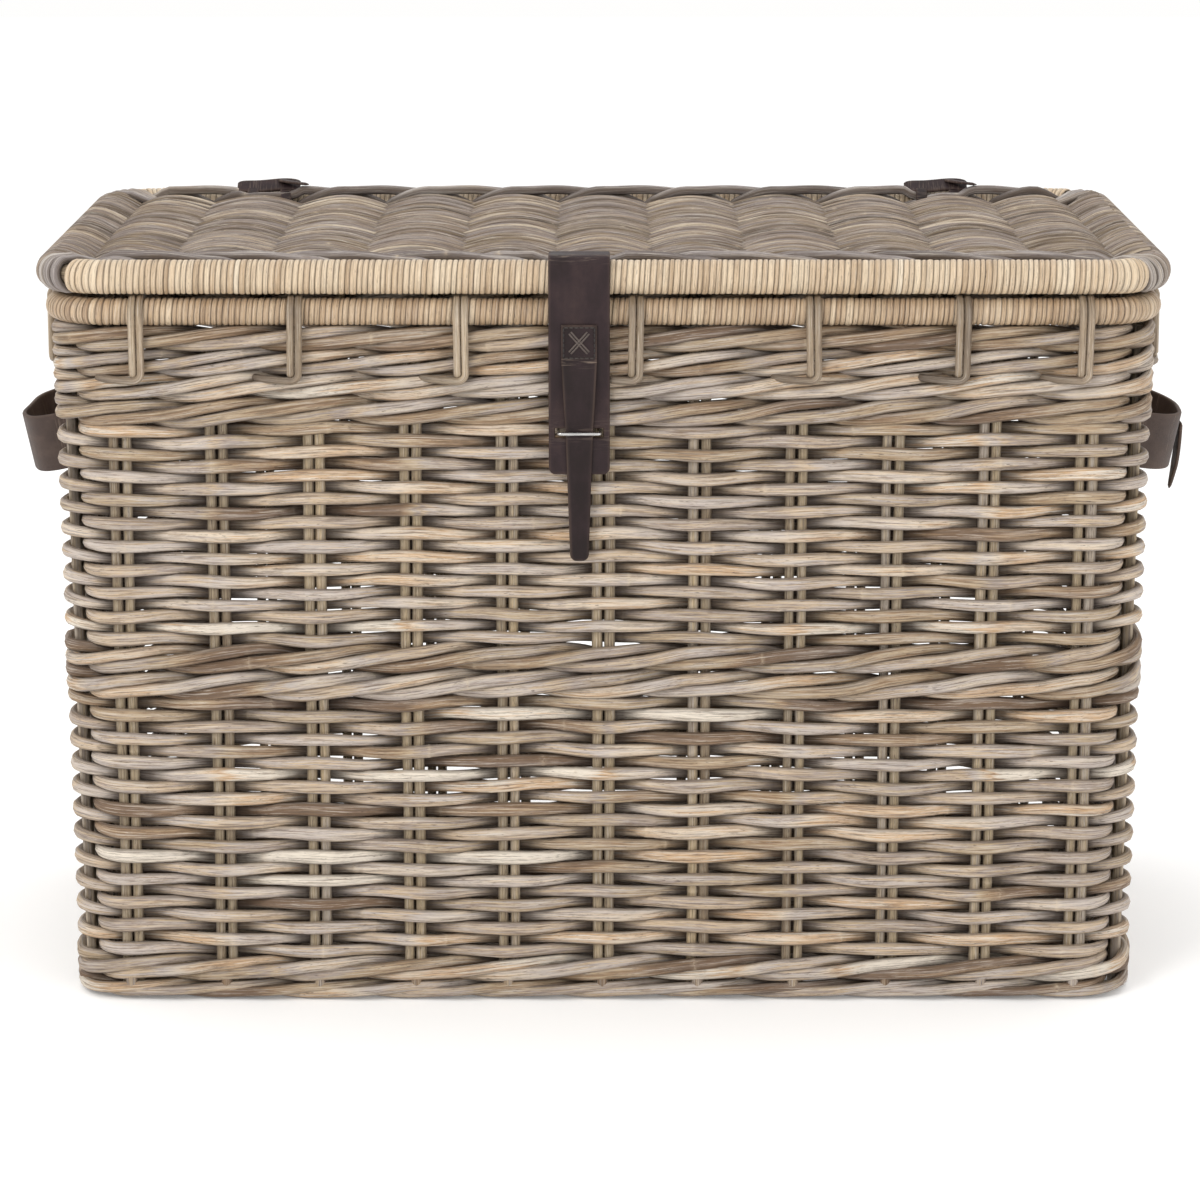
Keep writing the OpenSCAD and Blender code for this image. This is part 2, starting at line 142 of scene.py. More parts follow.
# ---- meshes
class Build:
    """Collects swept rods, wraps and plates, then makes one object of them.

    Each vertex has two attributes for the materials. fib is its place in the fibres' own space. look is tint,
    joint and shade on a rod or wrap, and tone, crease and edge on leather."""

    GAP = 2 * MM                                      # between two strips of the bake layout

    def __init__(self):
        self.verts, self.fib, self.look, self.faces, self.strips = [], [], [], [], []
        self.count = 0

    def add_verts(self, pts, fib, look):
        start = self.count
        for store, rows in ((self.verts, pts), (self.fib, fib), (self.look, look)):
            store.append(rows.reshape(-1, 3))
        self.count += len(self.verts[-1])
        return start

    def add_faces(self, faces, uv, length, girth, flip=False):
        """Faces, with uv on a new strip of that length, or on the last strip if length is None."""
        if flip:
            faces, uv = faces[:, ::-1], uv[:, ::-1]
        self.faces.append(faces)
        self.strips.append((uv, length, girth))

    def grid(self, pts, fib, look, along, girth, wrap=True, skew=0):
        """Faces between the rings of pts. A ring's last point meets the first one of the ring skew on."""
        n, k = pts.shape[:2]
        start = self.add_verts(pts, fib, look)
        cols = k if wrap else k - 1
        i, j = (v.ravel() for v in np.meshgrid(np.arange(n - 1), np.arange(cols), indexing="ij"))
        over = (j + 1) // k
        keep = i + 1 + skew * over < n
        i, j, over = i[keep], j[keep], over[keep]
        i2, j2 = i + skew * over, (j + 1) % k
        quad = np.stack([i * k + j, i2 * k + j2, (i2 + 1) * k + j2, (i + 1) * k + j], 1) + start
        corner = lambda row, col: np.stack([along[row], col * girth / cols], 1)
        uv = np.stack([corner(i, j), corner(i, j + 1), corner(i + 1, j + 1), corner(i + 1, j)], 1)
        self.add_faces(quad, uv, along[-1], girth)
        return start

    def fan(self, ring, centre, flip, u, girth):
        """A closing cap: ring holds vertex numbers, centre is one vertex."""
        k = len(ring)
        j = np.arange(k)
        tri = np.stack([ring, np.roll(ring, -1), np.full(k, centre)], 1)
        corner = lambda at, row: np.stack([np.full(k, at), row * girth / k], 1)
        uv = np.stack([corner(u, j), corner(u, j + 1), corner(u + self.GAP * 0.4, j + 0.5)], 1)
        self.add_faces(tri, uv, None, girth, flip)

    def tube(self, path, hint, out, side, tint=0.5, mark=0.0, shade=0.0, sides=8):
        """A rod swept along path. out is its half size towards hint, side its half size across.

        Only the half towards hint is shaded, or the half away from it where shade is below 0."""
        path = np.asarray(path, float)
        n = len(path)
        hint = np.broadcast_to(np.asarray(hint, float), path.shape)
        tangent = unit(np.gradient(path, axis=0))
        normal = unit(hint - (hint * tangent).sum(1)[:, None] * tangent)
        across = np.cross(tangent, normal)
        a = np.arange(sides) * 2 * pi / sides
        section = np.stack([np.cos(a), np.sin(a)], 1)
        out, side, tint, mark, shade = (np.broadcast_to(x, n).astype(float)
                                        for x in (out, side, tint, mark, shade))
        # a rounded end: one ring a little way past each end, drawn in
        bead = 0.3 * np.minimum(out, side)
        path = np.concatenate([path[:1] - tangent[:1] * bead[0], path, path[-1:] + tangent[-1:] * bead[-1]])
        out, side, normal, across, tangent, tint, mark, shade = (
            np.concatenate([x[:1], x, x[-1:]])
            for x in (out, side, normal, across, tangent, tint, mark, shade))
        grow = np.concatenate([[0.7], np.ones(n), [0.7]])
        out, side = out * grow, side * grow
        pts = (path[:, None] + normal[:, None] * (out[:, None] * section[:, 0])[..., None]
               + across[:, None] * (side[:, None] * section[:, 1])[..., None])
        along = run_of(path)
        fib = np.empty((n + 2, sides, 3))
        fib[..., 0] = (along + rng.uniform(0, 40))[:, None]
        fib[..., 1:] = section / np.abs(section).max(0)
        look = np.empty((n + 2, sides, 3))
        look[..., 0], look[..., 1] = tint[:, None], mark[:, None]
        facing = np.sign(shade)[:, None] * fib[..., 1]
        look[..., 2] = np.abs(shade)[:, None] * smooth01((facing + 0.55) / 0.75)
        around = np.concatenate([section, section[:1]]) * [out.mean(), side.mean()]
        girth = run_of(around)[-1]
        start = self.grid(pts, fib, look, along, girth)
        ends = np.stack([path[0] - tangent[0] * bead[0] * 0.3, path[-1] + tangent[-1] * bead[-1] * 0.3])
        c = self.add_verts(ends, fib[[0, -1], 0] * [1, 0, 0], look[[0, -1], 0])
        ring = start + np.arange(sides)
        self.fan(ring, c, True, along[-1], girth)
        self.fan(ring + (n + 1) * sides, c + 1, False, along[-1] + self.GAP * 0.5, girth)

    def plate(self, centre, normal, across, half, thick, inner=5, bevel=1.2 * MM, hole=None, tone=0.5,
              crease=0.0):
        """Leather along centre, half wide to each side. hole is from, to and half width along it."""
        centre = np.asarray(centre, float)
        n = len(centre)
        normal, across = (np.broadcast_to(np.asarray(v, float), centre.shape) for v in (normal, across))
        half, crease = (np.broadcast_to(v, n).astype(float) for v in (half, crease))
        w = half.max()
        rows_in = np.array([0, 0.35, 0.9]) * MM       # extra rows close to each cut edge
        cols = list(np.linspace(-w + 4 * MM, w - 4 * MM, inner)) if w > 5 * MM else [0.0]
        cols += [sign * (w - e) for e in (*rows_in, 2 * MM) for sign in (-1, 1)]
        if hole:
            cols += [sign * (hole[2] + e) for sign in (-1, 1) for e in rows_in]
        cols = np.unique(np.round(cols, 6))
        m = len(cols)
        along = run_of(centre)
        x = cols[None, :] * (half / w)[:, None]
        d = np.minimum(half[:, None] - np.abs(x), np.minimum(along, along[-1] - along)[:, None])
        gone = np.zeros((n - 1, m - 1), bool)
        if hole:
            past = np.maximum(np.abs(x) - hole[2], np.maximum(hole[0] - along, along - hole[1])[:, None])
            d = np.minimum(d, np.maximum(past, 0))
            mid_x, mid_l = (cols[1:] + cols[:-1]) / 2, (along[1:] + along[:-1]) / 2
            gone = (np.abs(mid_x) < hole[2]) & ((mid_l > hole[0]) & (mid_l < hole[1]))[:, None]
        q = np.clip(d / bevel, 0, 1)
        t = thick / 2 * (0.3 + 0.7 * np.sqrt(1 - (1 - q) ** 2))
        flat = centre[:, None] + across[:, None] * x[..., None]
        seed = rng.uniform(0, 20)
        fib, look = np.empty((n, m, 3)), np.empty((n, m, 3))
        fib[..., 0], fib[..., 1], fib[..., 2] = along[:, None] + seed, x, seed - 3 * MM
        look[..., 0], look[..., 1], look[..., 2] = tone, crease[:, None], 1 - smooth01(d / (2.2 * MM))
        i, j = np.meshgrid(np.arange(n - 1), np.arange(m - 1), indexing="ij")
        i, j = i[~gone], j[~gone]
        corner = lambda row, col: np.stack([along[row], x[row, col] + w], 1)
        uv = np.stack([corner(i, j), corner(i, j + 1), corner(i + 1, j + 1), corner(i + 1, j)], 1)
        starts = []
        for side in (1, -1):
            starts.append(self.add_verts(flat + normal[:, None] * (side * t)[..., None], fib, look))
            quad = np.stack([i * m + j, i * m + j + 1, (i + 1) * m + j + 1, (i + 1) * m + j], 1) + starts[-1]
            self.add_faces(quad, uv, along[-1], 2 * w, side < 0)
        # the cut edges: a face wherever a cell has no neighbour
        solid = np.pad(~gone, 1)
        here = solid[1:-1, 1:-1]
        for a, b, free in (((0, 0), (0, 1), ~solid[:-2, 1:-1]), ((1, 1), (1, 0), ~solid[2:, 1:-1]),
                           ((1, 0), (0, 0), ~solid[1:-1, :-2]), ((0, 1), (1, 1), ~solid[1:-1, 2:])):
            i, j = np.nonzero(here & free)
            if len(i):
                (ai, aj), (bi, bj) = (i + a[0], j + a[1]), (i + b[0], j + b[1])
                va, vb, ua, ub = ai * m + aj, bi * m + bj, corner(ai, aj), corner(bi, bj)
                quad = np.stack([va + starts[1], vb + starts[1], vb + starts[0], va + starts[0]], 1)
                self.add_faces(quad, np.stack([ua + 0.4 * MM, ub + 0.4 * MM, ub, ua], 1), None, 2 * w)

    def object(self, name, body, finish, *nodes):
        """Lays the strips out in rows and makes one piece of all, which replaces these CAD nodes."""
        material, slot = finish
        mesh = bpy.data.meshes.new(name)
        verts = np.concatenate(self.verts)
        total = sum(length + 2 * self.GAP for _, length, _ in self.strips if length is not None)
        high = max(girth for _, _, girth in self.strips) + self.GAP
        fold = max(math.sqrt(total * high) * 1.01, 0.01)
        at, last, laid = 0.0, 0.0, []
        for uv, length, _ in self.strips:
            if length is not None:
                last = at
                at += length + 2 * self.GAP
            uv = uv + [last, 0]
            row = np.floor(uv[..., 0].min(1) / fold + 1e-9)
            laid.append((uv + np.stack([-row * fold, row * high], 1)[:, None]).reshape(-1, 2))
        laid = np.concatenate(laid)
        loops = np.concatenate([f.ravel() for f in self.faces])
        sizes = np.concatenate([np.full(len(f), f.shape[1]) for f in self.faces])
        mesh.vertices.add(len(verts))
        mesh.vertices.foreach_set("co", verts.astype(np.float32).ravel())
        mesh.loops.add(len(loops))
        mesh.loops.foreach_set("vertex_index", loops.astype(np.int32))
        mesh.polygons.add(len(sizes))
        mesh.polygons.foreach_set("loop_start", np.concatenate([[0], np.cumsum(sizes)[:-1]]).astype(np.int32))
        mesh.polygons.foreach_set("loop_total", sizes.astype(np.int32))
        mesh.polygons.foreach_set("use_smooth", np.full(len(sizes), True))
        layer = mesh.uv_layers.new(name="OFBake")
        layer.data.foreach_set("uv", (laid / (laid.max() * 1.002)).astype(np.float32).ravel())
        for attr, data in (("fib", self.fib), ("look", self.look)):
            a = mesh.attributes.new(attr, "FLOAT_VECTOR", "POINT")
            a.data.foreach_set("vector", np.concatenate(data).astype(np.float32).ravel())
        mesh.update(calc_edges=True)
        mesh.validate()
        mesh.materials.append(material)
        made = bpy.data.objects.new(name, mesh)
        bpy.context.scene.collection.objects.link(made)
        if body:
            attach(made, body)
        if nodes:
            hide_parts(*nodes)
        return made


# ---- the walls' shape
WALLS = ("front", "right", "back", "left")
PAIRS = 34
WALL_PAIRS = {"front": slice(0, 11), "right": slice(11, 17), "back": slice(17, 28), "left": slice(28, 34)}
OUTWARD = {"front": (0, -1, 0), "right": (1, 0, 0), "back": (0, 1, 0), "left": (-1, 0, 0)}
FRONT_L, SIDE_L, ARC_L = 2 * (HALF_W - CORNER), 2 * (HALF_D - CORNER), CORNER * pi / 2
ROUND_L = 2 * (FRONT_L + SIDE_L) + 4 * ARC_L
TUCK = 5 * MM                                     # how far a rod's far end is turned in


def rounded(s, lengths, running, centre, corner):
    """Points and outward normals at s along a rounded rectangle, from its front's left end anticlockwise.

    lengths are of its front, side and corner. A straight part runs over running to each side of its middle.
    The corners turn about centre at that radius."""
    front, side, arc = lengths
    edges = np.cumsum([0] + [front, arc, side, arc] * 2)
    s = np.mod(s, edges[-1])
    part = np.clip(np.searchsorted(edges, s, side="right") - 1, 0, 7)
    f = (s - edges[part]) / np.diff(edges)[part]
    a = np.radians(90 * (part // 2) - 90 + 90 * f * (part % 2))
    n = np.stack([np.cos(a), np.sin(a), 0 * a], -1)
    (x0, y0), (cx, cy) = running, centre
    x = np.choose(part, [x0 * (2 * f - 1), cx, cx, cx, x0 * (1 - 2 * f), -cx, -cx, -cx])
    y = np.choose(part, [-cy, -cy, y0 * (2 * f - 1), cy, cy, cy, y0 * (1 - 2 * f), -cy])
    return np.stack([x, y, 0 * a], -1) + n * np.asarray(corner)[..., None], n


def on_wall(s, z, out):
    """Points and outward normals at s and height z of the leaning wall, out from the stakes' centreline."""
    straight = np.array([HALF_W - CORNER, HALF_D - CORNER])
    p, n = rounded(s, (FRONT_L, SIDE_L, ARC_L), straight, (straight[0] + z * LEAN, straight[1] + z * LEAN),
                   CORNER + out)
    p[:, 2] = z
    return p, n


# where the pairs of stakes are, and how far along the wall's rounded rectangle
front_x, side_y = np.arange(-5, 6) * PITCH, (np.arange(6) - 2.5) * PITCH
HALF_XY = [(x, -HALF_D) for x in front_x] + [(HALF_W, y) for y in side_y]
PAIR_XY = HALF_XY + [(-x, -y) for x, y in HALF_XY]
on_straight = np.clip(side_y, -SIDE_L / 2, SIDE_L / 2)
side_s = on_straight + SIDE_L / 2 + CORNER * np.arctan((side_y - on_straight) / CORNER)
HALF_S = np.concatenate([front_x + FRONT_L / 2, FRONT_L + ARC_L + side_s])
PAIR_S = np.concatenate([HALF_S, HALF_S + ROUND_L / 2])
THREE_S = np.concatenate([PAIR_S - ROUND_L, PAIR_S, PAIR_S + ROUND_L])
THREE_K = np.arange(-PAIRS, 2 * PAIRS)


def pair_at(s):
    """The number of the pair of stakes at s, with fractions between pairs."""
    return np.interp(s, THREE_S, THREE_K)


def s_of(k):
    return np.interp(k, THREE_K, THREE_S)


SWAY = ((0.9, 5, 9, 1.3), (0.7, 13, 22, 0), (0.45, 29, -31, 2))    # size in mm, waves, turn per metre, start


def sway(s, z):
    """How far hand work has shifted the rods up or down at a place on the wall."""
    q = s / ROUND_L * 2 * pi
    lift = sum(size * np.sin(waves * q + turn * z + start) for size, waves, turn, start in SWAY)
    return lift * MM * smooth01(z / 0.06) * smooth01((WALL_TOP + 0.004 - z) / 0.06)


def pass_tint(k, spread=0.2):
    """A tint for a rod that changes a little from pass to pass, where the stakes hide the change."""
    steps = rng.uniform(0.08, 0.92) + rng.normal(0, spread, PAIRS * 3)
    q = np.mod(k + PAIRS, PAIRS * 3 - 1)
    low = np.floor(q).astype(int)
    return steps[low] + (steps[low + 1] - steps[low]) * smooth01(((q - low) - 0.35) / 0.3)


WEAVE_OUT = 7.65 * MM                             # how far the plain weave swings out and in round the stakes


def weave_rod(build, z, odd, k0, k1, step):
    """A rod of the plain weave from behind pair k0 to behind pair k1, in front of every other pair."""
    s, mark = rod_samples(s_of(k0) - 5 * MM, s_of(k1) + 13 * MM)
    c = np.cos(pi * (pair_at(s) + odd))               # 1 in front of a pair, -1 behind one
    half_out = (3.75 - 0.1 * c) * MM * (1 + wander(s, 0.03, 0.3))
    half_up = 0.485 * step + (0.62 * c * c + 0.12 * c) * MM
    half_up = half_up * (1 + wander(s, 0.05, 0.4)) * rng.uniform(0.95, 1.06)
    out = WEAVE_OUT * c - 0.1 * MM - TUCK * smooth01((s - s_of(k1)) / 0.011)
    wide = 1 + 0.09 * mark
    lift = 1.1 * MM * c + wander(s, 0.6 * MM, 0.09)
    p, n = on_wall(s, z + lift + sway(s, z), out)
    hint = n + UP * (rng.uniform(-0.1, 0.1) + 0.1 * np.sin(s * 14 + z * 50))[:, None]
    build.tube(p, hint, half_out * wide, half_up * wide, pass_tint(pair_at(s) / 2), mark,
               smooth01((-0.42 - c) / 0.45))


def weave_band(builds, z0, z1, rows):
    """Fills a band of wall. A row has one or two rods a wall. Front and back ones go round the corners."""
    step = (z1 - z0) / rows
    for r in range(rows):
        odd = r % 2
        behind = lambda k, other: k if (k + odd) % 2 == 1 else other
        a, b, c, d = behind(11, 12), behind(16, 15), behind(28, 29), behind(33, 32)
        for name, lo, hi in (("front", d - PAIRS, a), ("right", a, b), ("back", b, c), ("left", c, d)):
            stops = [lo, hi]
            if hi - lo > 6:
                stops.insert(1, lo + 2 * rng.integers(2, (hi - lo) // 2 - 1))
            for k0, k1 in zip(stops[:-1], stops[1:]):
                weave_rod(builds[name], z0 + (r + 0.5) * step, odd, k0, k1, step)


def wale_swing(u, at, push):
    """How far out a wale's rod is. u runs from 0 to 3: behind a pair at 0, then before two pairs."""
    before = at + push * np.sin(pi * (u - 1)) ** 2
    return np.where(u < 1, -at * np.cos(pi * u), np.where(u < 2, before, at * np.cos(pi * (u - 2))))


def wale_climb(u):
    """Its rise, from -1 to 1, while it is before the pairs, and its way down behind the third."""
    down = np.cos(pi * np.mod(u + 0.5, 3))
    return np.where((u > 0.5) & (u < 2.5), np.sin(pi / 2 * (u - 1.5)), down)


def wale_shade(u, start, width):
    return 1 - smooth01((np.minimum(u, 3 - u) - start) / width)


def wale_rod(build, z, first, k0, k1, rise, half_up, half_out, push, tone):
    """A rod of a three-rod wale: in front of two pairs, rising to the right, then behind one."""
    s, mark = rod_samples(s_of(k0) - 4 * MM, s_of(k1) + 12 * MM)
    k = pair_at(s)
    u = np.mod(k - first, 3)
    out = wale_swing(u, STAKE_R + half_out, push) - TUCK * smooth01((s - s_of(k1)) / 0.011)
    front = smooth01((u - 0.2) / 0.7) * smooth01((2.8 - u) / 0.7)
    tall = half_up * (0.8 + 0.2 * front) * (1 + wander(s, 0.05, 0.3)) * rng.uniform(0.92, 1.07)
    height = z + rise * wale_climb(u) + wander(s, 0.5 * MM, 0.12) + sway(s, z)
    p, n = on_wall(s, height, out)
    build.tube(p, n + 0.12 * UP, half_out * (1 + 0.08 * mark), tall * (1 + 0.07 * mark),
               pass_tint((k - first) / 3) + tone, mark, np.maximum(wale_shade(u, 0.26, 0.28), 0.14))


def wale(builds, z, rise, half_up=4.5 * MM, half_out=4 * MM, push=3.4 * MM, shift=0, tone=-0.06):
    """One band of wale right round the trunk."""
    for first in range(3):
        held = lambda k: k + (first + shift - k) % 3
        stops = [held(31 - PAIRS), held(11), held(14), held(28)]
        stops.append(stops[0] + PAIRS)                # the last wall's rods end where the first wall's began
        for name, k0, k1 in zip(WALLS, stops[:-1], stops[1:]):
            wale_rod(builds[name], z, first + shift, k0, k1, rise, half_up, half_out, push, tone)


# ---- materials
def srgb(colour):
    """8-bit display colour to linear."""
    return tuple(((c / 255) / 12.92 if c <= 10.3 else (((c / 255) + 0.055) / 1.055) ** 2.4) for c in colour)


class Nodes:
    """A new material, with short ways to add the nodes that the materials share."""

    def __init__(self, name):
        self.material = bpy.data.materials.new(name)
        self.material.use_nodes = True
        self.t = self.material.node_tree
        self.t.nodes.clear()
        self.shader = self.add("BsdfPrincipled")
        self.t.links.new(self.shader.outputs[0], self.add("OutputMaterial").inputs[0])
        self.fib = self.attr("fib")

    def add(self, kind, *inputs):
        """A node of that kind, with its first inputs set or linked."""
        n = self.t.nodes.new("ShaderNode" + kind)
        for socket, value in zip(n.inputs, inputs):
            self.put(socket, value)
        return n

    def put(self, socket, value):
        if isinstance(value, bpy.types.NodeSocket):
            self.t.links.new(value, socket)
        elif value is not None:
            socket.default_value = value

    def set(self, name, value):
        self.put(self.shader.inputs[name], value)

    def attr(self, name):
        n = self.add("Attribute")
        n.attribute_name = name
        return n.outputs["Vector"]

    def split(self, vector):
        return self.add("SeparateXYZ", vector).outputs

    def math(self, op, *values, clamp=False):
        n = self.add("Math", *values)
        n.operation, n.use_clamp = op, clamp
        return n.outputs[0]

    def noise(self, along, across, detail, rough, scale=1.0):
        """Noise in the fibres' space, at these frequencies along and across them."""
        stretched = self.add("VectorMath", self.fib, (along, across, across))
        stretched.operation = "MULTIPLY"
        n = self.add("TexNoise")
        for name, value in (("Vector", stretched.outputs[0]), ("Scale", scale), ("Detail", detail),
                            ("Roughness", rough)):
            self.put(n.inputs[name], value)
        return n.outputs[0]

    def range(self, value, a, b, c=0.0, d=1.0):
        n = self.add("MapRange", value, a, b, c, d)
        n.interpolation_type = "SMOOTHSTEP"
        return n.outputs[0]

    def ramp(self, value, stops):
        n = self.add("ValToRGB", value)
        while len(n.color_ramp.elements) < len(stops):
            n.color_ramp.elements.new(0.5)
        for e, (at, colour) in zip(n.color_ramp.elements, stops.items()):
            e.position, e.color = at, (*srgb(colour), 1)
        return n.outputs[0]

    def mix(self, factor, a, b):
        n = self.add("Mix")
        n.data_type, n.blend_type = "RGBA", "MIX"
        self.put(n.inputs[0], factor)
        for socket, colour in ((n.inputs[6], a), (n.inputs[7], b)):
            self.put(socket, colour if isinstance(colour, bpy.types.NodeSocket) else (*srgb(colour), 1))
        return n.outputs[2]

    def stain_and_shade(self, colour, mask, amount, stain_and_shade_colour, clamp=False):
        """colour with the last colour over it, by amount where mask is 1. It lays real stains, and painted
        shade too.
        """
        return self.mix(self.math("MULTIPLY", mask, amount, clamp=clamp), colour, stain_and_shade_colour)

    def vary(self, value, noise, size, clamp=False):
        """value moved up and down by size times the noise."""
        return self.math("ADD", value, self.math("MULTIPLY_ADD", noise, size, -size / 2), clamp=clamp)

    def bump(self, height, strength, distance):
        n = self.add("Bump")
        for name, value in (("Strength", strength), ("Distance", distance), ("Height", height)):
            self.put(n.inputs[name], value)
        self.set("Normal", n.outputs[0])


def rattan(name, slot, stops, grey, gloss, streak=1.0, shaded_groove=0.5):
    """Weathered rattan: fibre streaks, grey bloom, pale chipped joints, painted shade where rods press
    together.
    """
    g = Nodes(name)
    tint, mark, shade = g.split(g.attr("look"))
    fine, hair = g.noise(26, 3.6, 4, 0.62), g.noise(60, 11, 3, 0.7)
    cloud, fleck = g.noise(9, 0.9, 3, 0.6), g.noise(160, 5.5, 2, 0.6)
    fissure, spot = g.noise(15, 2.1, 5, 0.72, 2.0), g.noise(38, 1.1, 4, 0.7, 1.3)
    colour = g.ramp(g.vary(g.vary(tint, cloud, 0.5), fine, 0.62 * streak, clamp=True), stops)
    bloom = g.math("MULTIPLY", g.range(g.noise(5, 0.7, 4, 0.6, 1.7), 0.42, 0.66), g.range(fine, 0.35, 0.62),
                   clamp=True)
    colour = g.stain_and_shade(colour, bloom, grey, (176, 168, 162))
    for mask, amount, over in ((g.range(hair, 0.53, 0.68), 0.5, (98, 80, 64)),
                               (g.range(fissure, 0.51, 0.61), 0.62, (88, 73, 61)),
                               (g.range(fissure, 0.47, 0.37), 0.5, (212, 203, 190)),
                               (g.range(spot, 0.56, 0.7), 0.4, (110, 84, 60))):
        colour = g.stain_and_shade(colour, mask, amount * streak, over)
    specks = g.math("MULTIPLY", g.range(fleck, 0.62, 0.7), g.range(cloud, 0.44, 0.56))
    colour = g.stain_and_shade(colour, specks, 0.7, (70, 57, 48))
    ring = g.math("MULTIPLY", mark, g.range(g.noise(300, 2.6, 2, 0.6), 0.36, 0.56))
    colour = g.stain_and_shade(colour, ring, 0.5, (208, 190, 164), clamp=True)
    # painted shade along both sides of each rod, where it meets its neighbours
    if shaded_groove:
        side = g.math("ABSOLUTE", g.split(g.fib)[2])
        colour = g.stain_and_shade(colour, g.range(side, 0.62, 1.0), shaded_groove, (88, 74, 62))
    # painted shade: the look attribute's shade, broken up by cloud noise, darkens the colour towards (62, 50,
    # 43)
    painted_shade = g.math("MULTIPLY", shade, g.range(cloud, 0.25, 0.7, 0.75, 1.0))
    g.set("Base Color", g.stain_and_shade(colour, painted_shade, 0.8, (62, 50, 43)))
    rough = g.math("ADD", g.math("MULTIPLY", hair, 0.25), 0.62 - 0.3 * gloss)
    g.set("Roughness", g.math("ADD", rough, g.math("MULTIPLY", shade, 0.18), clamp=True))
    g.set("Specular IOR Level", 0.32 + 0.2 * gloss)
    height = g.math("ADD", g.math("MULTIPLY", hair, 0.6), g.math("MULTIPLY", fine, 0.8))
    height = g.math("ADD", height, g.math("MULTIPLY_ADD", fissure, -0.7, g.math("MULTIPLY", mark, 0.5)))
    g.bump(height, 0.9, 0.8 * MM)
    return g.material, slot


# each finish is a material and the record's slot for it
WEAVE = rattan("rattan_weave", "rattan_weave", {
    0.0: (112, 88, 67), 0.14: (152, 125, 96), 0.28: (182, 161, 132), 0.4: (160, 147, 140),
    0.52: (197, 173, 142), 0.64: (184, 173, 167), 0.78: (213, 196, 174), 0.9: (193, 156, 116),
    1.0: (223, 212, 196)}, grey=0.55, gloss=0.35)
STAKE = rattan("rattan_stake", "rattan_stake", {
    0.0: (146, 127, 103), 0.3: (174, 156, 128), 0.55: (190, 169, 136), 0.75: (178, 166, 154),
    1.0: (211, 187, 148)}, grey=0.3, gloss=0.5)
LID = rattan("rattan_lid", "rattan_weave", {
    0.0: (66, 53, 43), 0.2: (100, 84, 68), 0.36: (140, 121, 96), 0.5: (110, 98, 94), 0.62: (149, 129, 108),
    0.78: (132, 122, 119), 0.9: (166, 146, 122), 1.0: (198, 181, 158)}, grey=0.35, gloss=0.4, shaded_groove=0.7)
EDGE = rattan("rattan_lid_edge", "rattan_weave", {
    0.0: (84, 76, 74), 0.3: (118, 109, 106), 0.55: (144, 136, 134), 0.75: (150, 136, 122),
    1.0: (182, 176, 172)}, grey=0.5, gloss=0.5, shaded_groove=0.75)
TIE = rattan("rattan_tie", "cane", {
    0.0: (120, 104, 85), 0.35: (149, 130, 106), 0.7: (168, 147, 121), 1.0: (188, 168, 140)},
    grey=0.3, gloss=1.3, shaded_groove=0.3)
CANE = rattan("cane_wrap", "cane", {
    0.0: (160, 132, 101), 0.2: (190, 163, 130), 0.45: (211, 186, 154), 0.72: (223, 202, 172),
    1.0: (236, 219, 193)}, grey=0.12, gloss=1.35, streak=0.75, shaded_groove=0)
RIM = rattan("cane_rim", "cane", {
    0.0: (138, 110, 82), 0.2: (168, 139, 108), 0.45: (188, 160, 128), 0.72: (203, 177, 145),
    1.0: (219, 197, 167)}, grey=0.15, gloss=1.3, streak=0.8, shaded_groove=0)


def leather(name, stops, gloss):
    """Waxed leather: soft mottling, pores, fine cracks at the bends and paler cut edges."""
    g = Nodes(name)
    tone, crease, edge = g.split(g.attr("look"))
    mottle, smear = g.noise(38, 52, 4, 0.6), g.noise(9, 60, 3, 0.6)
    pores, grain = g.noise(1500, 1500, 2, 0.6), g.noise(520, 640, 3, 0.65)
    colour = g.ramp(g.vary(g.vary(tone, mottle, 0.9), smear, 0.4, clamp=True), stops)
    colour = g.stain_and_shade(colour, g.range(grain, 0.55, 0.75), 0.25, (30, 24, 23))
    cracks = g.math("MULTIPLY", crease, g.range(g.noise(900, 70, 3, 0.6), 0.5, 0.66))
    colour = g.stain_and_shade(colour, cracks, 0.75, (128, 112, 100))
    scuff = g.math("MULTIPLY", edge, g.range(smear, 0.4, 0.65, 0.35, 1.0))
    g.set("Base Color", g.stain_and_shade(colour, scuff, 0.3, (112, 94, 82)))
    rough = g.math("MULTIPLY_ADD", mottle, 0.35, 0.55 - 0.3 * gloss)
    g.set("Roughness", g.math("ADD", rough, g.math("MULTIPLY", edge, 0.1), clamp=True))
    g.set("Specular IOR Level", 0.2)
    height = g.math("MULTIPLY_ADD", grain, 0.8, g.math("MULTIPLY", smear, 0.9))
    height = g.math("MULTIPLY_ADD", pores, 0.35, height)
    g.bump(g.math("ADD", height, g.math("MULTIPLY", cracks, -0.7)), 0.5, 0.4 * MM)
    return g.material, "leather"


def steel_wire():
    g = Nodes("steel")
    worn = g.noise(90, 2, 4, 0.6)
    g.set("Base Color", g.ramp(worn, {0.3: (150, 148, 146), 0.6: (206, 205, 204), 1.0: (226, 225, 224)}))
    g.set("Metallic", 1.0)
    g.set("Roughness", g.range(worn, 0.3, 0.75, 0.16, 0.42))
    g.bump(g.noise(500, 4, 2, 0.5), 0.2, 0.1 * MM)
    return g.material, "steel"


def sewing_thread():
    g = Nodes("thread")
    ply = g.noise(1400, 2.2, 2, 0.5)
    pale = g.ramp(ply, {0.3: (52, 43, 40), 0.62: (92, 80, 73), 1.0: (112, 98, 90)})
    g.set("Base Color", g.mix(g.split(g.attr("look"))[0], (14, 10, 10), pale))
    g.set("Roughness", 0.6)
    g.bump(ply, 0.6, 0.2 * MM)
    return g.material, "thread"


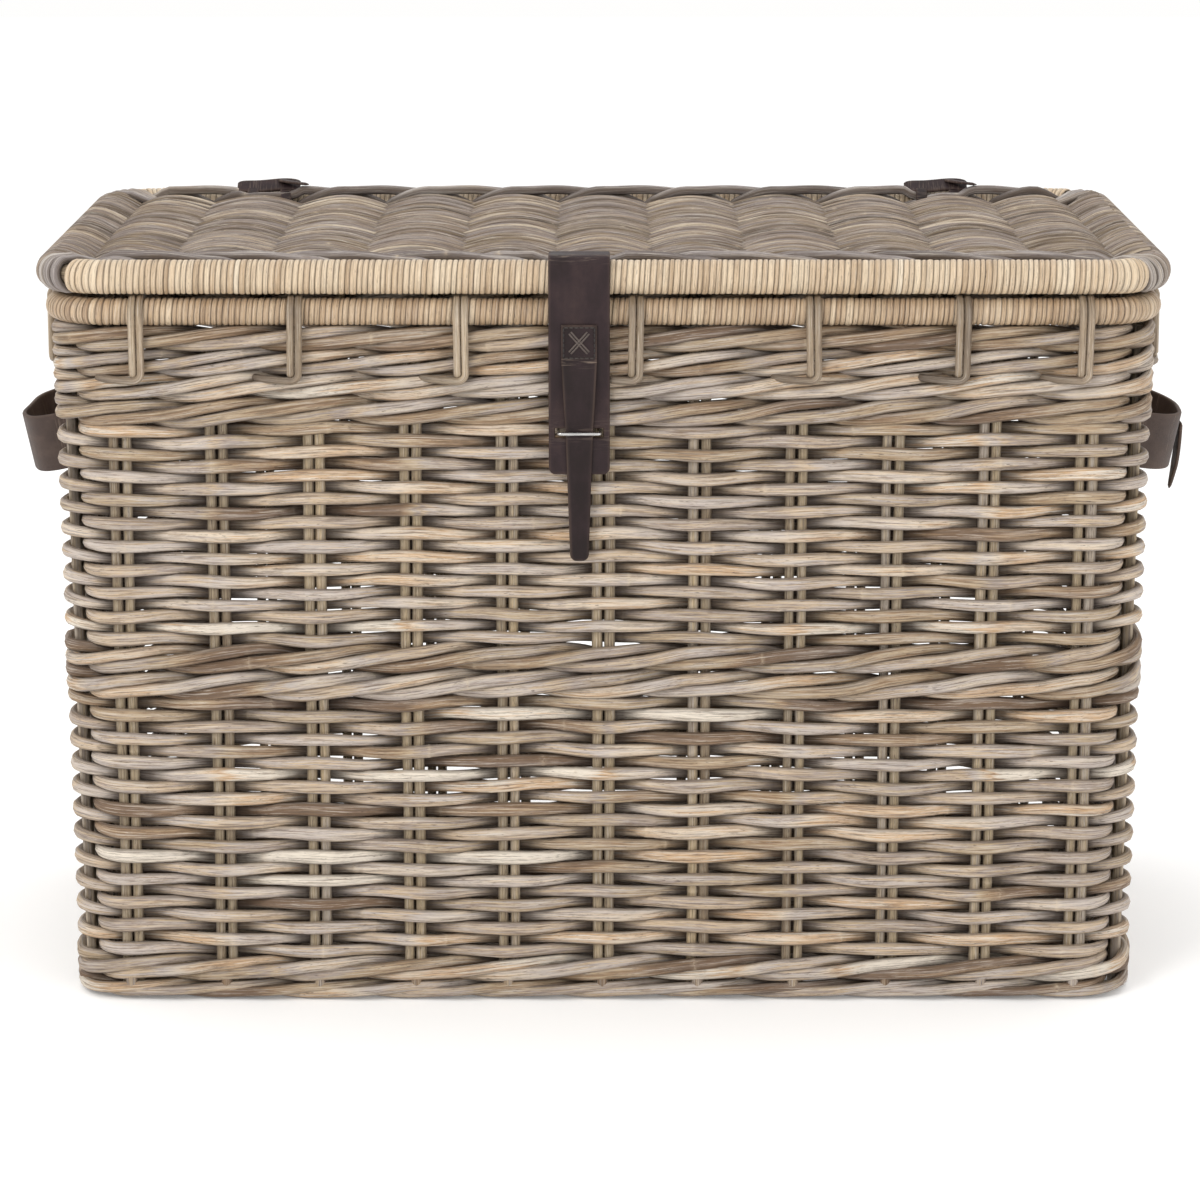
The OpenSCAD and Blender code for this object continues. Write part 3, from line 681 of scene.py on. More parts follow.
LEATHER = leather("strap_leather", {
    0.0: (22, 15, 15), 0.3: (31, 21, 21), 0.55: (43, 31, 33), 0.8: (58, 44, 43), 1.0: (84, 66, 58)},
    gloss=0.55)
WORN_LEATHER = leather("handle_leather", {
    0.0: (50, 40, 37), 0.4: (70, 58, 53), 0.7: (88, 74, 67), 1.0: (112, 95, 85)}, gloss=0.4)
STEEL = steel_wire()
THREAD = sewing_thread()


# ---- the walls
def wall_pieces(node, fill):
    builds = {w: Build() for w in WALLS}
    fill(builds)
    for w in WALLS:
        builds[w].object(f"{node}_{w}", "trunk", WEAVE, node)


def middle_wales(b):
    half = (MIDDLE_TOP - LOWER_TOP) / 4
    wale(b, LOWER_TOP + half, 6.4 * MM)
    wale(b, MIDDLE_TOP - half, 6.4 * MM, shift=1)


def upper_wales(b):
    wale(b, UPPER_TOP + 9.5 * MM, 6.4 * MM)
    wale(b, UPPER_TOP + 27.5 * MM, 6 * MM, shift=2)
    wale(b, UPPER_TOP + 44.5 * MM, 6.4 * MM, half_up=4.2 * MM, push=3 * MM, shift=1)
    wale(b, UPPER_TOP + 61.6 * MM, 5.6 * MM, half_up=4.6 * MM, push=2.6 * MM)


def foot_wales(b):
    wale(b, 22.2 * MM, 5.2 * MM, shift=1, tone=-0.14)
    wale(b, 7.2 * MM, 2.9 * MM, half_up=3.9 * MM, half_out=3.8 * MM, push=2.6 * MM, tone=-0.2)
    # the cut ends of the base's sticks show between the two bands
    for w, pairs in WALL_PAIRS.items():
        for pair_s in PAIR_S[pairs]:
            s = np.full(5, pair_s) + rng.uniform(-1, 1) * MM
            p, n = on_wall(s, np.linspace(8.5, 18.5, 5) * MM, 7.2 * MM)
            b[w].tube(p, n, 3.9 * MM, 4.3 * MM, rng.uniform(0.1, 0.7), 0, 0.35, sides=10)


LOWER_ROWS, UPPER_ROWS = 22, 19
wall_pieces("lower_weave", lambda b: weave_band(b, FOOT_TOP, LOWER_TOP, LOWER_ROWS))
wall_pieces("upper_weave", lambda b: weave_band(b, MIDDLE_TOP, UPPER_TOP, UPPER_ROWS))
wall_pieces("middle_wale", middle_wales)
wall_pieces("upper_wale", upper_wales)
wall_pieces("foot_border", foot_wales)

for wall in ("front", "back", "left", "right"):
    build = Build()
    outward = np.array(OUTWARD[wall], float)
    side = np.abs(np.cross(outward, UP))
    for x, y in PAIR_XY[WALL_PAIRS[wall]]:
        for t in (-1, 1):
            z, mark = rod_samples(1.5 * MM, WALL_TOP - 6 * MM, 0.011, (0.2, 0.42))
            p = np.array([x, y, 0.0]) + side * t * PAIR_GAP / 2 * 1.02 + np.outer(z * LEAN, outward)
            p = p + np.outer(wander(z, 0.4 * MM, 0.15), side) + np.outer(z, UP)
            r = STAKE_R * rng.uniform(0.9, 1.04) * (1 + wander(z, 0.03, 0.2)) * (1 + 0.08 * mark)
            build.tube(p, outward, r, r, rng.uniform(0, 1) + wander(z, 0.12, 0.2), mark, 0.12, sides=10)
    build.object(f"stakes_{wall}_rods", "trunk", STAKE, f"stakes_{wall}")

# ---- the base
BASE_IN, BASE_MID = 0.0135, BASE_T / 2            # the base ends this far inside the stakes' centreline
BASE_ROWS, BASE_STEP, BASE_SWING = 41, 8.8 * MM, 7.1 * MM


def sticks(build, reach, z, size, wander_size, shade):
    """Pairs of straight rods from front to back."""
    for i in range(-5, 6):
        for t in (-1, 1):
            y, mark = rod_samples(-reach, reach, 0.012, (0.15, 0.3))
            across = wander(y, wander_size, 0.1) if wander_size else 0 * y
            path = np.stack([i * PITCH + t * PAIR_GAP / 2 + across, y, z + 0 * y], 1)
            build.tube(path, UP, STAKE_R * size, STAKE_R * size, rng.uniform(0, 1), mark, shade, sides=10)


build = Build()
for r in range(BASE_ROWS):
    stops = [BASE_IN - HALF_W, PITCH * (2 * rng.integers(-1, 2) + r % 2), HALF_W - BASE_IN]
    for x0, x1 in zip(stops[:-1], stops[1:]):
        x, mark = rod_samples(x0, x1)
        c = np.cos(pi * (x / PITCH + r))
        y = (r - (BASE_ROWS - 1) / 2) * BASE_STEP + wander(x, 0.5 * MM, 0.1)
        path = np.stack([x, y, BASE_MID + BASE_SWING * c], 1)
        build.tube(path, UP, 3.4 * MM, (3.9 + 0.5 * c * c) * MM, pass_tint(x / PITCH / 2 + 8), mark,
                   0.35 + 0.3 * (1 - np.abs(c)))
build.object("base_weave_rods", "trunk", WEAVE, "base_weave")
build = Build()
sticks(build, HALF_D - BASE_IN, BASE_MID, 0.98, 0.2 * MM, 0.2)
build.object("base_sticks_rods", "trunk", STAKE, "base_sticks")

# ---- cane wraps
TURN_U = np.array([0, 0.1, 0.28, 0.5, 0.72, 0.9])       # places across one turn of cane
TURN_H = np.array([-1, -0.3, -0.03, 0.03, -0.03, -0.3])  # its height there; the groove is at -1


def ring_place(s, half_w, half_d, corner):
    """Points and outward normals at s along a bent rod, from the front's middle anticlockwise."""
    straight = (half_w - corner, half_d - corner)
    lengths = (2 * straight[0], 2 * straight[1], corner * pi / 2)
    return rounded(s + straight[0], lengths, straight, straight, corner)


def ring_length(half_w, half_d, corner):
    return 4 * (half_w + half_d - 2 * corner) + 2 * pi * corner


def cane_wrap(build, ring, z, s0, s1, pitch, radius, depth, sides=18, closed=False):
    """Cane wound side by side round a rod: one skin with a groove between every two turns."""
    turns = int(round((s1 - s0) / pitch))
    pitch = (s1 - s0) / turns
    per = len(TURN_U)
    q = np.arange(turns * per + (0 if closed else 1))
    turn = q // per
    u, height = TURN_U[q % per], TURN_H[q % per]
    shaded_groove = height < -0.9
    loose = rng.normal(0, 0.1, turns + 2)
    if closed:
        loose[turns] = loose[0]
    wide = u * (1 + loose[turn + 1] - loose[turn]) + loose[turn]
    swell = rng.normal(0, 0.09, turns + 1)
    tone = np.clip(0.52 + rng.normal(0, 0.13, turns + 1) + wander(np.arange(turns + 1.0), 0.1, 9), 0, 1)
    deep = rng.uniform(0.75, 1.35, turns + 1)
    j = np.arange(sides)
    a = pi + j * 2 * pi / sides                       # each turn begins on the inner side, out of sight
    s = s0 + (turn[:, None] + wide[:, None] + j / sides) * pitch
    base, n = ring_place(s, *ring)
    h = height * np.where(shaded_groove, deep[turn], 1) + swell[turn] * (u > 0)
    r = (radius + depth * (np.minimum(h, 0.15) - 0.15))[:, None]
    pts = base + n * (r * np.cos(a))[..., None] + UP * (r * np.sin(a) + z)[..., None]
    girth = 2 * pi * radius
    fib, look = np.empty(pts.shape), np.zeros(pts.shape)
    fib[..., 0] = a * radius + turn[:, None] * girth
    fib[..., 1] = (u * 1.6 + 3.1 * (turn % 7))[:, None]
    fib[..., 2] = (turn * 0.37)[:, None]
    look[..., 0] = tone[turn][:, None]
    # painted shade in the grooves between turns, and a little on their slopes
    look[..., 2] = np.where(shaded_groove, 1.0, np.where(height < -0.2, 0.25, 0.0))[:, None]
    along = q / per * pitch
    if not closed:
        build.grid(pts, fib, look, along, girth, skew=per)
        return
    pts, fib, look = (np.concatenate([x, x[:1]]) for x in (pts, fib, look))
    along = np.append(along, s1 - s0)
    build.grid(pts, fib, look, along, girth, wrap=False)
    # the strip from each ring's last point to the first point of the ring one turn on
    seam = np.stack([pts[:-1, -1], np.roll(pts[:-1, 0], -per, 0)], 1)
    seam = np.concatenate([seam, seam[:1]])
    fib, look = (np.repeat(x[:, -1:], 2, 1) for x in (fib, look))
    build.grid(seam, fib, look, along, girth / sides, wrap=False)


b = Build()
cane_wrap(b, RIM_RING, RIM_Z, 0, ring_length(*RIM_RING), 4 * MM, RIM_R, 1.1 * MM, closed=True)
b.object("rim_cane_wrap", "trunk", RIM, "rim_cane")

CANE_HALF = LID_W - LID_CORNER + 0.028            # the lid's cane ends a little way into each corner
for name, middle in (("front", 0.0), ("back", ring_length(*LID_RING) / 2)):
    b = Build()
    cane_wrap(b, LID_RING, LID_Z, middle - CANE_HALF, middle + CANE_HALF, 4.1 * MM, LID_R, 1.2 * MM, sides=20)
    b.object(f"lid_cane_{name}_wrap", "lid", CANE, f"lid_cane_{name}")


# ---- the lid
RIB_TOP, ROD_TOP = 6.6 * MM, 9.9 * MM             # how far its rods stand off the ribs, and off the end rods
ROWS, ROW_STEP, HALF_ROWS = 84, 4.44 * MM, 42
TURN_STEPS = 15


def row_y(r):
    return (r - (ROWS - 1) / 2) * ROW_STEP


def lid_edge_x(y):
    """Where the end rod's centreline is across the lid at y, and its outward normal there."""
    over = max(abs(y) - (LID_D - LID_CORNER), 0.0)
    x = LID_W - LID_CORNER + math.sqrt(LID_CORNER ** 2 - over ** 2)
    return x, np.array([math.sqrt(1 - (over / LID_CORNER) ** 2), math.copysign(over / LID_CORNER, y), 0])


def lid_row(r):
    """Row r of the lid: points, half sizes, joints, shade, and the ribs' numbers along it."""
    y, last = row_y(r), 5 * PITCH
    x_end = lid_edge_x(y)[0]
    x, mark = rod_samples(-x_end, x_end)
    k = np.where(np.abs(x) <= last, x / PITCH, np.sign(x) * (5 + (np.abs(x) - last) / (x_end - last)))
    c = np.cos(pi * (k + 5 + r))                      # 1 over a rib, -1 under one
    edge = smooth01(np.abs(k) - 5)
    rise = RIB_TOP * rng.uniform(0.94, 1.2) * (1 - edge) + ROD_TOP * edge
    z = LID_Z + c * rise + wander(x, 0.7 * MM, 0.08)
    flat = c * c
    tall = (3.5 - 0.4 * flat) * MM * rng.uniform(0.92, 1.08)
    wide = (2.6 + 1.15 * flat) * MM * (1 + wander(x, 0.05, 0.15)) * rng.uniform(0.93, 1.05)
    drift = 1.3 * MM * np.sin(x * 13 + y * 11) + wander(x, 0.3 * MM, 0.07)
    pts = np.stack([x, y + drift * smooth01((x_end - np.abs(x)) / 0.05), z], 1)
    return pts, tall, wide, mark, smooth01((0.2 - c) / 0.6) * (1 - edge) + 0.03, k


def lid_turn(r, sign):
    """The turn round the right (sign 1) or left end rod from row r to the next, and the way inward."""
    y0, y1 = row_y(r), row_y(r + 1)
    x, n = lid_edge_x((y0 + y1) / 2)
    n = n * [sign, 1, 1]
    a = sign * np.radians(np.linspace(-82, 82, TURN_STEPS))
    f = np.linspace(0.04, 0.96, TURN_STEPS)
    centre = np.stack([np.full(TURN_STEPS, sign * x), y0 + (y1 - y0) * f, np.full(TURN_STEPS, LID_Z)], 1)
    out = np.outer(np.cos(a), n) + np.outer(np.sin(a), UP)
    return centre + out * ROD_TOP, -out


def lid_weave(lo, hi, name, *nodes):
    """Rows lo to hi of the lid. A rod runs along a row and comes back round the end rod as the next one."""
    build = Build()
    r = lo
    while r < hi:
        count = min(int(rng.integers(2, 5)), hi - r)
        parts = []
        for q in range(r, r + count):
            pts, tall, wide, mark, shade, k = lid_row(q)
            sign = 1 if q % 2 == 0 else -1
            tint = 0.5 + (pass_tint(k / 2 + 8, 0.1) - 0.5) * 0.95
            parts.append([v[::sign] for v in (pts, np.tile(sign * UP, (len(pts), 1)), tall, wide, tint, mark,
                                              sign * shade)])
            if q + 1 < r + count or q + 1 < ROWS:
                turn, inward = lid_turn(q, sign)
                parts.append([turn, inward] + [np.full(TURN_STEPS, v) for v in
                                               (2.9 * MM, 4.3 * MM, parts[-1][4][-1], 0.0, 0.05)])
        build.tube(*(np.concatenate([part[i] for part in parts]) for i in range(7)))
        r += count
    build.object(name, "lid", LID, *nodes)


lid_weave(0, HALF_ROWS, "lid_weave_front_rods", "lid_weave", "lid_end_left")
lid_weave(HALF_ROWS, ROWS, "lid_weave_back_rods", "lid_end_right")

WALE_END = 0.372                                  # half the length of the bands along the lid's edges
WALE_Y = LID_D - LID_R - 4.2 * MM


def lid_wale(build, toward, dips):
    """The twined band along the lid's front or back edge, pressed down where straps cross it."""
    for first in range(3):
        x, mark = rod_samples(-WALE_END, WALE_END)
        k = x / PITCH + 5
        u = np.mod(k - first, 3)
        up, climb = wale_swing(u, RIB_TOP + 4.4 * MM, 1.6 * MM), wale_climb(u)
        ends = smooth01((WALE_END - np.abs(x)) / 0.03)
        down = sum(smooth01((half - np.abs(x - at)) / 0.012) for at, half in dips)
        rise = np.where(up > 0, up - 1.9 * MM * climb - 4.5 * MM * down, up)
        y = toward * (WALE_Y + MM * (4.4 * climb - 3 * down)) + wander(x, 0.6 * MM, 0.1)
        path = np.stack([x, y, LID_Z + rise * ends], 1)
        build.tube(path, (0, 0.25 * toward, 1), 3.6 * MM, 4 * MM * (1 + 0.06 * mark),
                   pass_tint((k - first) / 3 + 3), mark, wale_shade(u, 0.4, 0.4))


build = Build()
hinge_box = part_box("hinge_strap_right")
hinge_x = (hinge_box[0].x + hinge_box[1].x) / 2
lid_wale(build, -1, [(STRAP_X, 0.034)])
lid_wale(build, 1, [(hinge_x, 0.028), (-hinge_x, 0.028)])
# short rods that cover the frame's corners, from under the lid round to its top
LEAD_IN, LEAD_DROP = np.array([[30], [20], [10]]) * MM, np.array([[6], [3], [0]]) * MM
for sx in (-1, 1):
    for sy in (-1, 1):
        for degrees in (24, 34.5, 45):
            a = math.radians(degrees)
            n = np.array([sx * math.cos(a), sy * math.sin(a), 0])
            centre = np.array([sx * (LID_W - LID_CORNER), sy * (LID_D - LID_CORNER), LID_Z]) + n * LID_CORNER
            f = np.radians(np.linspace(-100, 100, 19))
            out = np.outer(np.cos(f), n) + np.outer(np.sin(f), UP)
            arc = centre + out * (ROD_TOP + 0.2 * MM) + np.outer(f, np.cross(n, UP) * 2 * MM)
            lead = lambda end, up: end - LEAD_IN * n - up * LEAD_DROP * UP
            path = np.concatenate([lead(arc[0], -1), arc, lead(arc[-1], 1)[::-1]])
            hints = np.concatenate([np.tile(-out[0], (3, 1)), -out, np.tile(-out[-1], (3, 1))])
            build.tube(path, hints, 2.9 * MM, 4.2 * MM, rng.uniform(0.2, 0.9), 0, 0.1)
build.object("lid_edge_rods", "lid", EDGE)

# the ribs, and the bent rods that the lid and the rim are built on
build = Build()
sticks(build, LID_D - LID_R - 4 * MM, LID_Z, 0.97, 0, 0.3)
build.object("lid_ribs_rods", "lid", STAKE, "lid_ribs")
for name, node, ring, z, radius, body in (
        ("rim_rod_core", "rim_rod", RIM_RING, RIM_Z, RIM_R - 2.2 * MM, "trunk"),
        ("lid_frame_core", "lid_frame_rod", LID_RING, LID_Z, 6.8 * MM, "lid")):
    build = Build()
    p, n = ring_place(np.arange(0, ring_length(*ring), 8.5 * MM), *ring)
    p, n = (np.concatenate([v, v[:2]]) for v in (p + z * UP, n))
    build.tube(p, n, radius, radius, 0.3, 0, 0.5, sides=14)
    build.object(name, body, STAKE, node)

# ---- the rim's ties
TIE_R = 2.72 * MM
TIE_AT = {"front": [-327, -216, -100, 23, 147, 252, 338], "back": [-330, -215, -100, 0, 100, 215, 330],
          "left": [-120, 0, 120], "right": [-120, 0, 120]}     # in mm along the wall
OVER, DOWN_STEPS, TURN_IN = 22, 12, 8             # a tie's points over the rim, down its face and after that


def tie_rod(build, centre, n, right, t, foot, lean, tone):
    """A tie's left (t is -1) or right rod, from inside the trunk over the rim to its foot."""
    a = np.radians(np.linspace(205, 0, OVER))
    at_angle = lambda *values: np.interp(a, [0, 0.9, 2.4, 3.6], values)
    flat = at_angle(TIE_R, MM, MM, 2 * MM)
    out = RIM_R + 0.15 * MM + flat
    way = np.outer(np.cos(a), n) + np.outer(np.sin(a), UP)
    centre = centre + right * t * TIE_R * 1.03
    over = centre + out[:, None] * way + RIM_Z * UP
    down = centre + n * (RIM_R + 0.15 * MM + TIE_R) + np.outer(np.linspace(0, 1, DOWN_STEPS), right * lean)
    down[:, 2] = np.linspace(RIM_Z - 4 * MM, foot + 4 * MM, DOWN_STEPS)
    end = down[-1]
    q = np.linspace(0, 1, TURN_IN + 1)[1:, None]
    if t > 0:                                          # this rod turns to the left and is tucked away
        bend = end - right * (1 - np.cos(q * 1.5)) * 6 * MM - UP * np.sin(q * 1.5) * 5.5 * MM
        tail = np.concatenate([bend, bend[-1] - (right * q * 26 + n * q ** 2 * 11 - UP * q) * MM])
    else:
        tail = end - (UP * q * 3.5 + n * q ** 1.5 * 12) * MM
    rest = DOWN_STEPS + len(tail)
    size_out = np.concatenate([flat, np.full(rest, TIE_R)])
    size_side = np.concatenate([at_angle(TIE_R, 2.6 * MM, 2.6 * MM, TIE_R), np.full(rest, TIE_R)]) * 0.99
    shade = np.concatenate([np.full(OVER, 0.15), np.zeros(DOWN_STEPS), np.linspace(0, 0.9, len(tail))])
    path, hints = np.concatenate([over, down, tail]), np.concatenate([way, np.tile(n, (rest, 1))])
    build.tube(path, hints, size_out, size_side, tone + rng.uniform(-0.2, 0.2), 0, shade, sides=10)


for wall in WALLS:
    n = np.array(OUTWARD[wall], float)
    right = np.cross(UP, n)                       # to the right of someone who faces this wall
    build = Build()
    for place_mm in TIE_AT[wall]:
        centre = np.abs(right) * place_mm * MM + n * (RIM_D if wall in ("front", "back") else RIM_W)
        tone, lean = rng.uniform(0, 1), rng.uniform(-0.9, 0.9) * MM
        for t in (-1, 1):
            tie_rod(build, centre, n, right, t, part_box(f"rim_ties_{wall}")[0].z - MM, lean, tone)
    build.object(f"rim_ties_{wall}_rods", "trunk", TIE, f"rim_ties_{wall}")

# ---- the closing strap
STRAP_T = 3.5 * MM
BEND = np.array([STRAP_X, -(LID_D + LID_R + 0.3 * MM) - STRAP_T / 2, LID_Z])   # where it leaves the lid's rod
STRAP_LEAN = math.radians(2.8)
DOWN = np.array([0, math.sin(STRAP_LEAN), -math.cos(STRAP_LEAN)])
FACE = np.array([0, -math.cos(STRAP_LEAN), -math.sin(STRAP_LEAN)])     # out of the hanging strap
ACROSS = np.array([1.0, 0, 0])
STAPLE_LO, STAPLE_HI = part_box("staple")
STAPLE_Z = (STAPLE_LO.z + STAPLE_HI.z) / 2
SLOT_HALF_W, SLOT_HALF_H = 16.9 * MM, 3.3 * MM
END_R = 5 * MM                                    # the rounding of the strap's and the tongue's free corners
CUT_ROWS = np.array([0.3, 0.8, 1.6, 2.8, 4.4, 6.2, 8]) * MM            # rows this far from a rounded end


def drop_to(z):
    """The distance down the hanging strap from the bend to height z."""
    return (LID_Z - z) / math.cos(STRAP_LEAN)


def rounded_path(points, radii, step=1.2 * MM):
    """A line through points with its corners rounded, as even small steps."""
    points = [np.asarray(p, float) for p in points]
    out = [points[0][None]]
    for a, b, c, r in zip(points[:-2], points[1:-1], points[2:], radii):
        u, v = unit(a - b), unit(c - b)
        half = math.acos(np.clip(u @ v, -1, 1)) / 2
        cut = min(r / math.tan(half), 0.49 * np.linalg.norm(a - b), 0.49 * np.linalg.norm(c - b))
        p, q = b + u * cut, b + v * cut
        f = np.linspace(0, 1, 9)[:, None]
        out.append((1 - f) ** 2 * p + 2 * f * (1 - f) * (b * 0.96 + (p + q) / 2 * 0.04) + f ** 2 * q)
    line = np.concatenate(out + [points[-1][None]])
    length = run_of(line)
    return at_length(line, length, np.linspace(0, length[-1], max(4, int(length[-1] / step))))


def at_length(path, length, places):
    """path's points at these distances along it."""
    return np.stack([np.interp(places, length, path[:, i]) for i in range(3)], 1)


def path_normals(path):
    return unit(np.cross(np.gradient(path, axis=0), ACROSS))


def insert_rows(path, places):
    """Adds rows to path at these distances along it."""
    length = run_of(path)
    kept = length[(length > 1.2 * MM) & (length < length[-1] - 1.2 * MM)]
    places = [q for q in places if 0 <= q <= length[-1]]
    even = np.unique(np.round(np.concatenate([[0, length[-1]], kept, places]), 7))
    even = even[np.concatenate([[True], np.diff(even) > 0.12 * MM])]
    return at_length(path, length, even), even


def corner_cut(from_end):
    """How much narrower each side of a strap is this far from its rounded end."""
    return np.where(from_end < END_R, END_R - np.sqrt(np.maximum(END_R ** 2 - (END_R - from_end) ** 2, 0)), 0)


inner_y = -LID_D + LID_R + 0.3 * MM + STRAP_T / 2
tail_z, top_z = STRAP_LO.z + STRAP_T / 2, LID_Z + LID_R + 0.7 * MM + STRAP_T / 2
strap_line = rounded_path([
    (STRAP_X, inner_y + 0.032, tail_z), (STRAP_X, inner_y, tail_z), (STRAP_X, inner_y + 0.3 * MM, top_z),
    (STRAP_X, BEND[1] - 0.2 * MM, top_z + 0.5 * MM), BEND, BEND + DOWN * drop_to(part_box("strap_flap")[0].z)],
    [5 * MM, 5 * MM, 4.2 * MM, 30 * MM], 1.6 * MM)
length = run_of(strap_line)
bend_at = length[np.argmin(np.linalg.norm(strap_line - BEND, axis=1))]
slot_at = bend_at + drop_to(STAPLE_Z)
near = [*(length[-1] - CUT_ROWS), 0.3 * MM, 0.9 * MM]
near += [slot_at + sign * (SLOT_HALF_H + q * MM) for sign in (-1, 1) for q in (0, 0.35, 0.9)]
strap_line, length = insert_rows(strap_line, near)
half = STRAP_HALF - corner_cut(length[-1] - length)
creases = bump_at(length, 0.9, bend_at - 17 * MM, 3.5 * MM) + bump_at(length, 0.35, slot_at, 9 * MM)
b = Build()
b.plate(strap_line, -path_normals(strap_line), ACROSS, half, STRAP_T,
        hole=(slot_at - SLOT_HALF_H, slot_at + SLOT_HALF_H, SLOT_HALF_W), tone=0.55, crease=creases)
closing_strap = b.object("closing_strap", None, LEATHER, "strap_loop", "strap_flap")
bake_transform(closing_strap)

# the tongue: sewn on at its square end, hanging free below
TONGUE_T, PATCH, TIP_HALF = 2.5 * MM, 25 * MM, 6.7 * MM
TONGUE_LO, TONGUE_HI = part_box("tongue")
lift = STRAP_T / 2 + 0.15 * MM + TONGUE_T / 2
top_drop, tip_drop = drop_to(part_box("tongue_patch")[1].z), drop_to(TONGUE_LO.z)
pivot_drop, staple_drop = drop_to(TONGUE_HI.z - TONGUE_T / 2), drop_to(STAPLE_Z)
d = np.unique(np.concatenate([np.linspace(top_drop, tip_drop, 84), top_drop + np.array([0.35, 0.9]) * MM,
                              tip_drop - CUT_ROWS[:5]]))
half = np.interp(d, [pivot_drop, staple_drop, tip_drop - TIP_HALF], [PATCH / 2, 9.6 * MM, TIP_HALF])
half = half - corner_cut(tip_drop - d)
kick = 0.6 * MM * smooth01((d - staple_drop - 0.012) / 0.05)
between = np.clip((d - pivot_drop) / (staple_drop - 3 * MM - pivot_drop), 0, 1)
bow = 3.4 * MM * np.sin(pi * between) ** 2   # off the strap between the patch and the staple
sag = np.where(d > pivot_drop, 0.25 * MM * np.sin((d - top_drop) / 0.03), 0)
creases = bump_at(d, 0.8, pivot_drop, 2.5 * MM) + bump_at(d, 0.5, staple_drop, 4 * MM)
b = Build()
b.plate(BEND + np.outer(d, DOWN) + np.outer(lift + kick + bow + sag, FACE), FACE, ACROSS, half, TONGUE_T,
        bevel=1.5 * MM, tone=0.36, crease=creases)
tongue_piece = b.object("tongue_leather", None, LEATHER, "tongue", "tongue_patch")
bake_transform(tongue_piece)

# stitches: rows round the patch, and a double cross in its middle
patch_mid = BEND + DOWN * (top_drop + PATCH / 2) + FACE * (lift + TONGUE_T / 2)
stitches = Build()


def stitch(x, y, angle, length=2.3 * MM, thick=0.55 * MM, tint=0.0):
    way = ACROSS * math.cos(angle) - DOWN * math.sin(angle)
    f = np.linspace(-1, 1, 7)
    path = patch_mid + ACROSS * x - DOWN * y + np.outer(f * length / 2, way)
    stitches.tube(path + np.outer(0.4 * MM * (1 - f ** 4) - 0.1 * MM, FACE), FACE, 0.5 * MM, thick, tint)


edge = PATCH / 2 - 1.7 * MM
for q in np.linspace(-1, 1, 7)[:-1] + 1 / 6:
    for sign in (-1, 1):
        stitch(q * edge, sign * edge, 0, tint=0.35)
        stitch(sign * edge, q * edge, pi / 2, tint=0.15)
for angle in (math.radians(48), math.radians(-48)):
    for off in (-0.95 * MM, 0.95 * MM):
        stitch(-off * math.sin(angle), off * math.cos(angle), angle, 19 * MM, 0.7 * MM, 0.9)
stitches.object("tongue_stitches", "strap", THREAD, "strap_stitches")

# the staple, bent from one wire, and the leather plate that it is clenched over inside
WIRE_R, LEG, CLENCH = 1.2 * MM, 14.8 * MM, 9 * MM
bar_y, end_y = STAPLE_LO.y + WIRE_R, STAPLE_HI.y - WIRE_R
right = [(LEG - CLENCH, end_y), (LEG, end_y), (LEG, bar_y)]
wire = rounded_path([(STRAP_X + x, y, STAPLE_Z) for x, y in [(-x, y) for x, y in right] + right[::-1]],
                    [1.6 * MM, 2.4 * MM, 2.4 * MM, 1.6 * MM], 0.7 * MM)
b = Build()
b.tube(wire, UP, WIRE_R, WIRE_R, sides=12)
b.object("staple_wire", "trunk", STEEL, "staple")
lo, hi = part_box("staple_plate")
z = np.unique(np.concatenate([np.linspace(lo.z, hi.z, 12), [lo.z + 0.4 * MM, hi.z - 0.4 * MM]]))
path = np.array([(lo.x + hi.x) / 2, (lo.y + hi.y) / 2, 0]) + np.outer(z, UP)
b = Build()
b.plate(path, (0, 1, 0), -ACROSS, (hi.x - lo.x) / 2, hi.y - lo.y, bevel=0.6 * MM, tone=0.6)
b.object("staple_backing", "trunk", WORN_LEATHER, "staple_plate")

# the two low round rivet heads under the lid, which face down
RIVET_R, RIVET_H = 3.2 * MM, 1.5 * MM
b = Build()
rivets_lo, rivets_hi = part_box("strap_rivets")
f = np.array([0, 0.12, 0.3, 0.5, 0.7, 0.85, 0.95]) * pi / 2
for sign in (-1, 1):
    at = np.array([STRAP_X + sign * STRAP_HALF / 2, (rivets_lo.y + rivets_hi.y) / 2, rivets_hi.z])
    r = RIVET_R * np.cos(f * 0.98)
    b.tube(at - np.outer(RIVET_H * np.sin(f), UP), (0, -1, 0), r, r, sides=20)
b.object("strap_rivet_heads", "lid", STEEL, "strap_rivets")

# ---- the handles
HANDLE_HALF, HANDLE_T, HANDLE_REACH = 21 * MM, 3.4 * MM, 36 * MM
HANDLE_DROOP = math.radians(12)


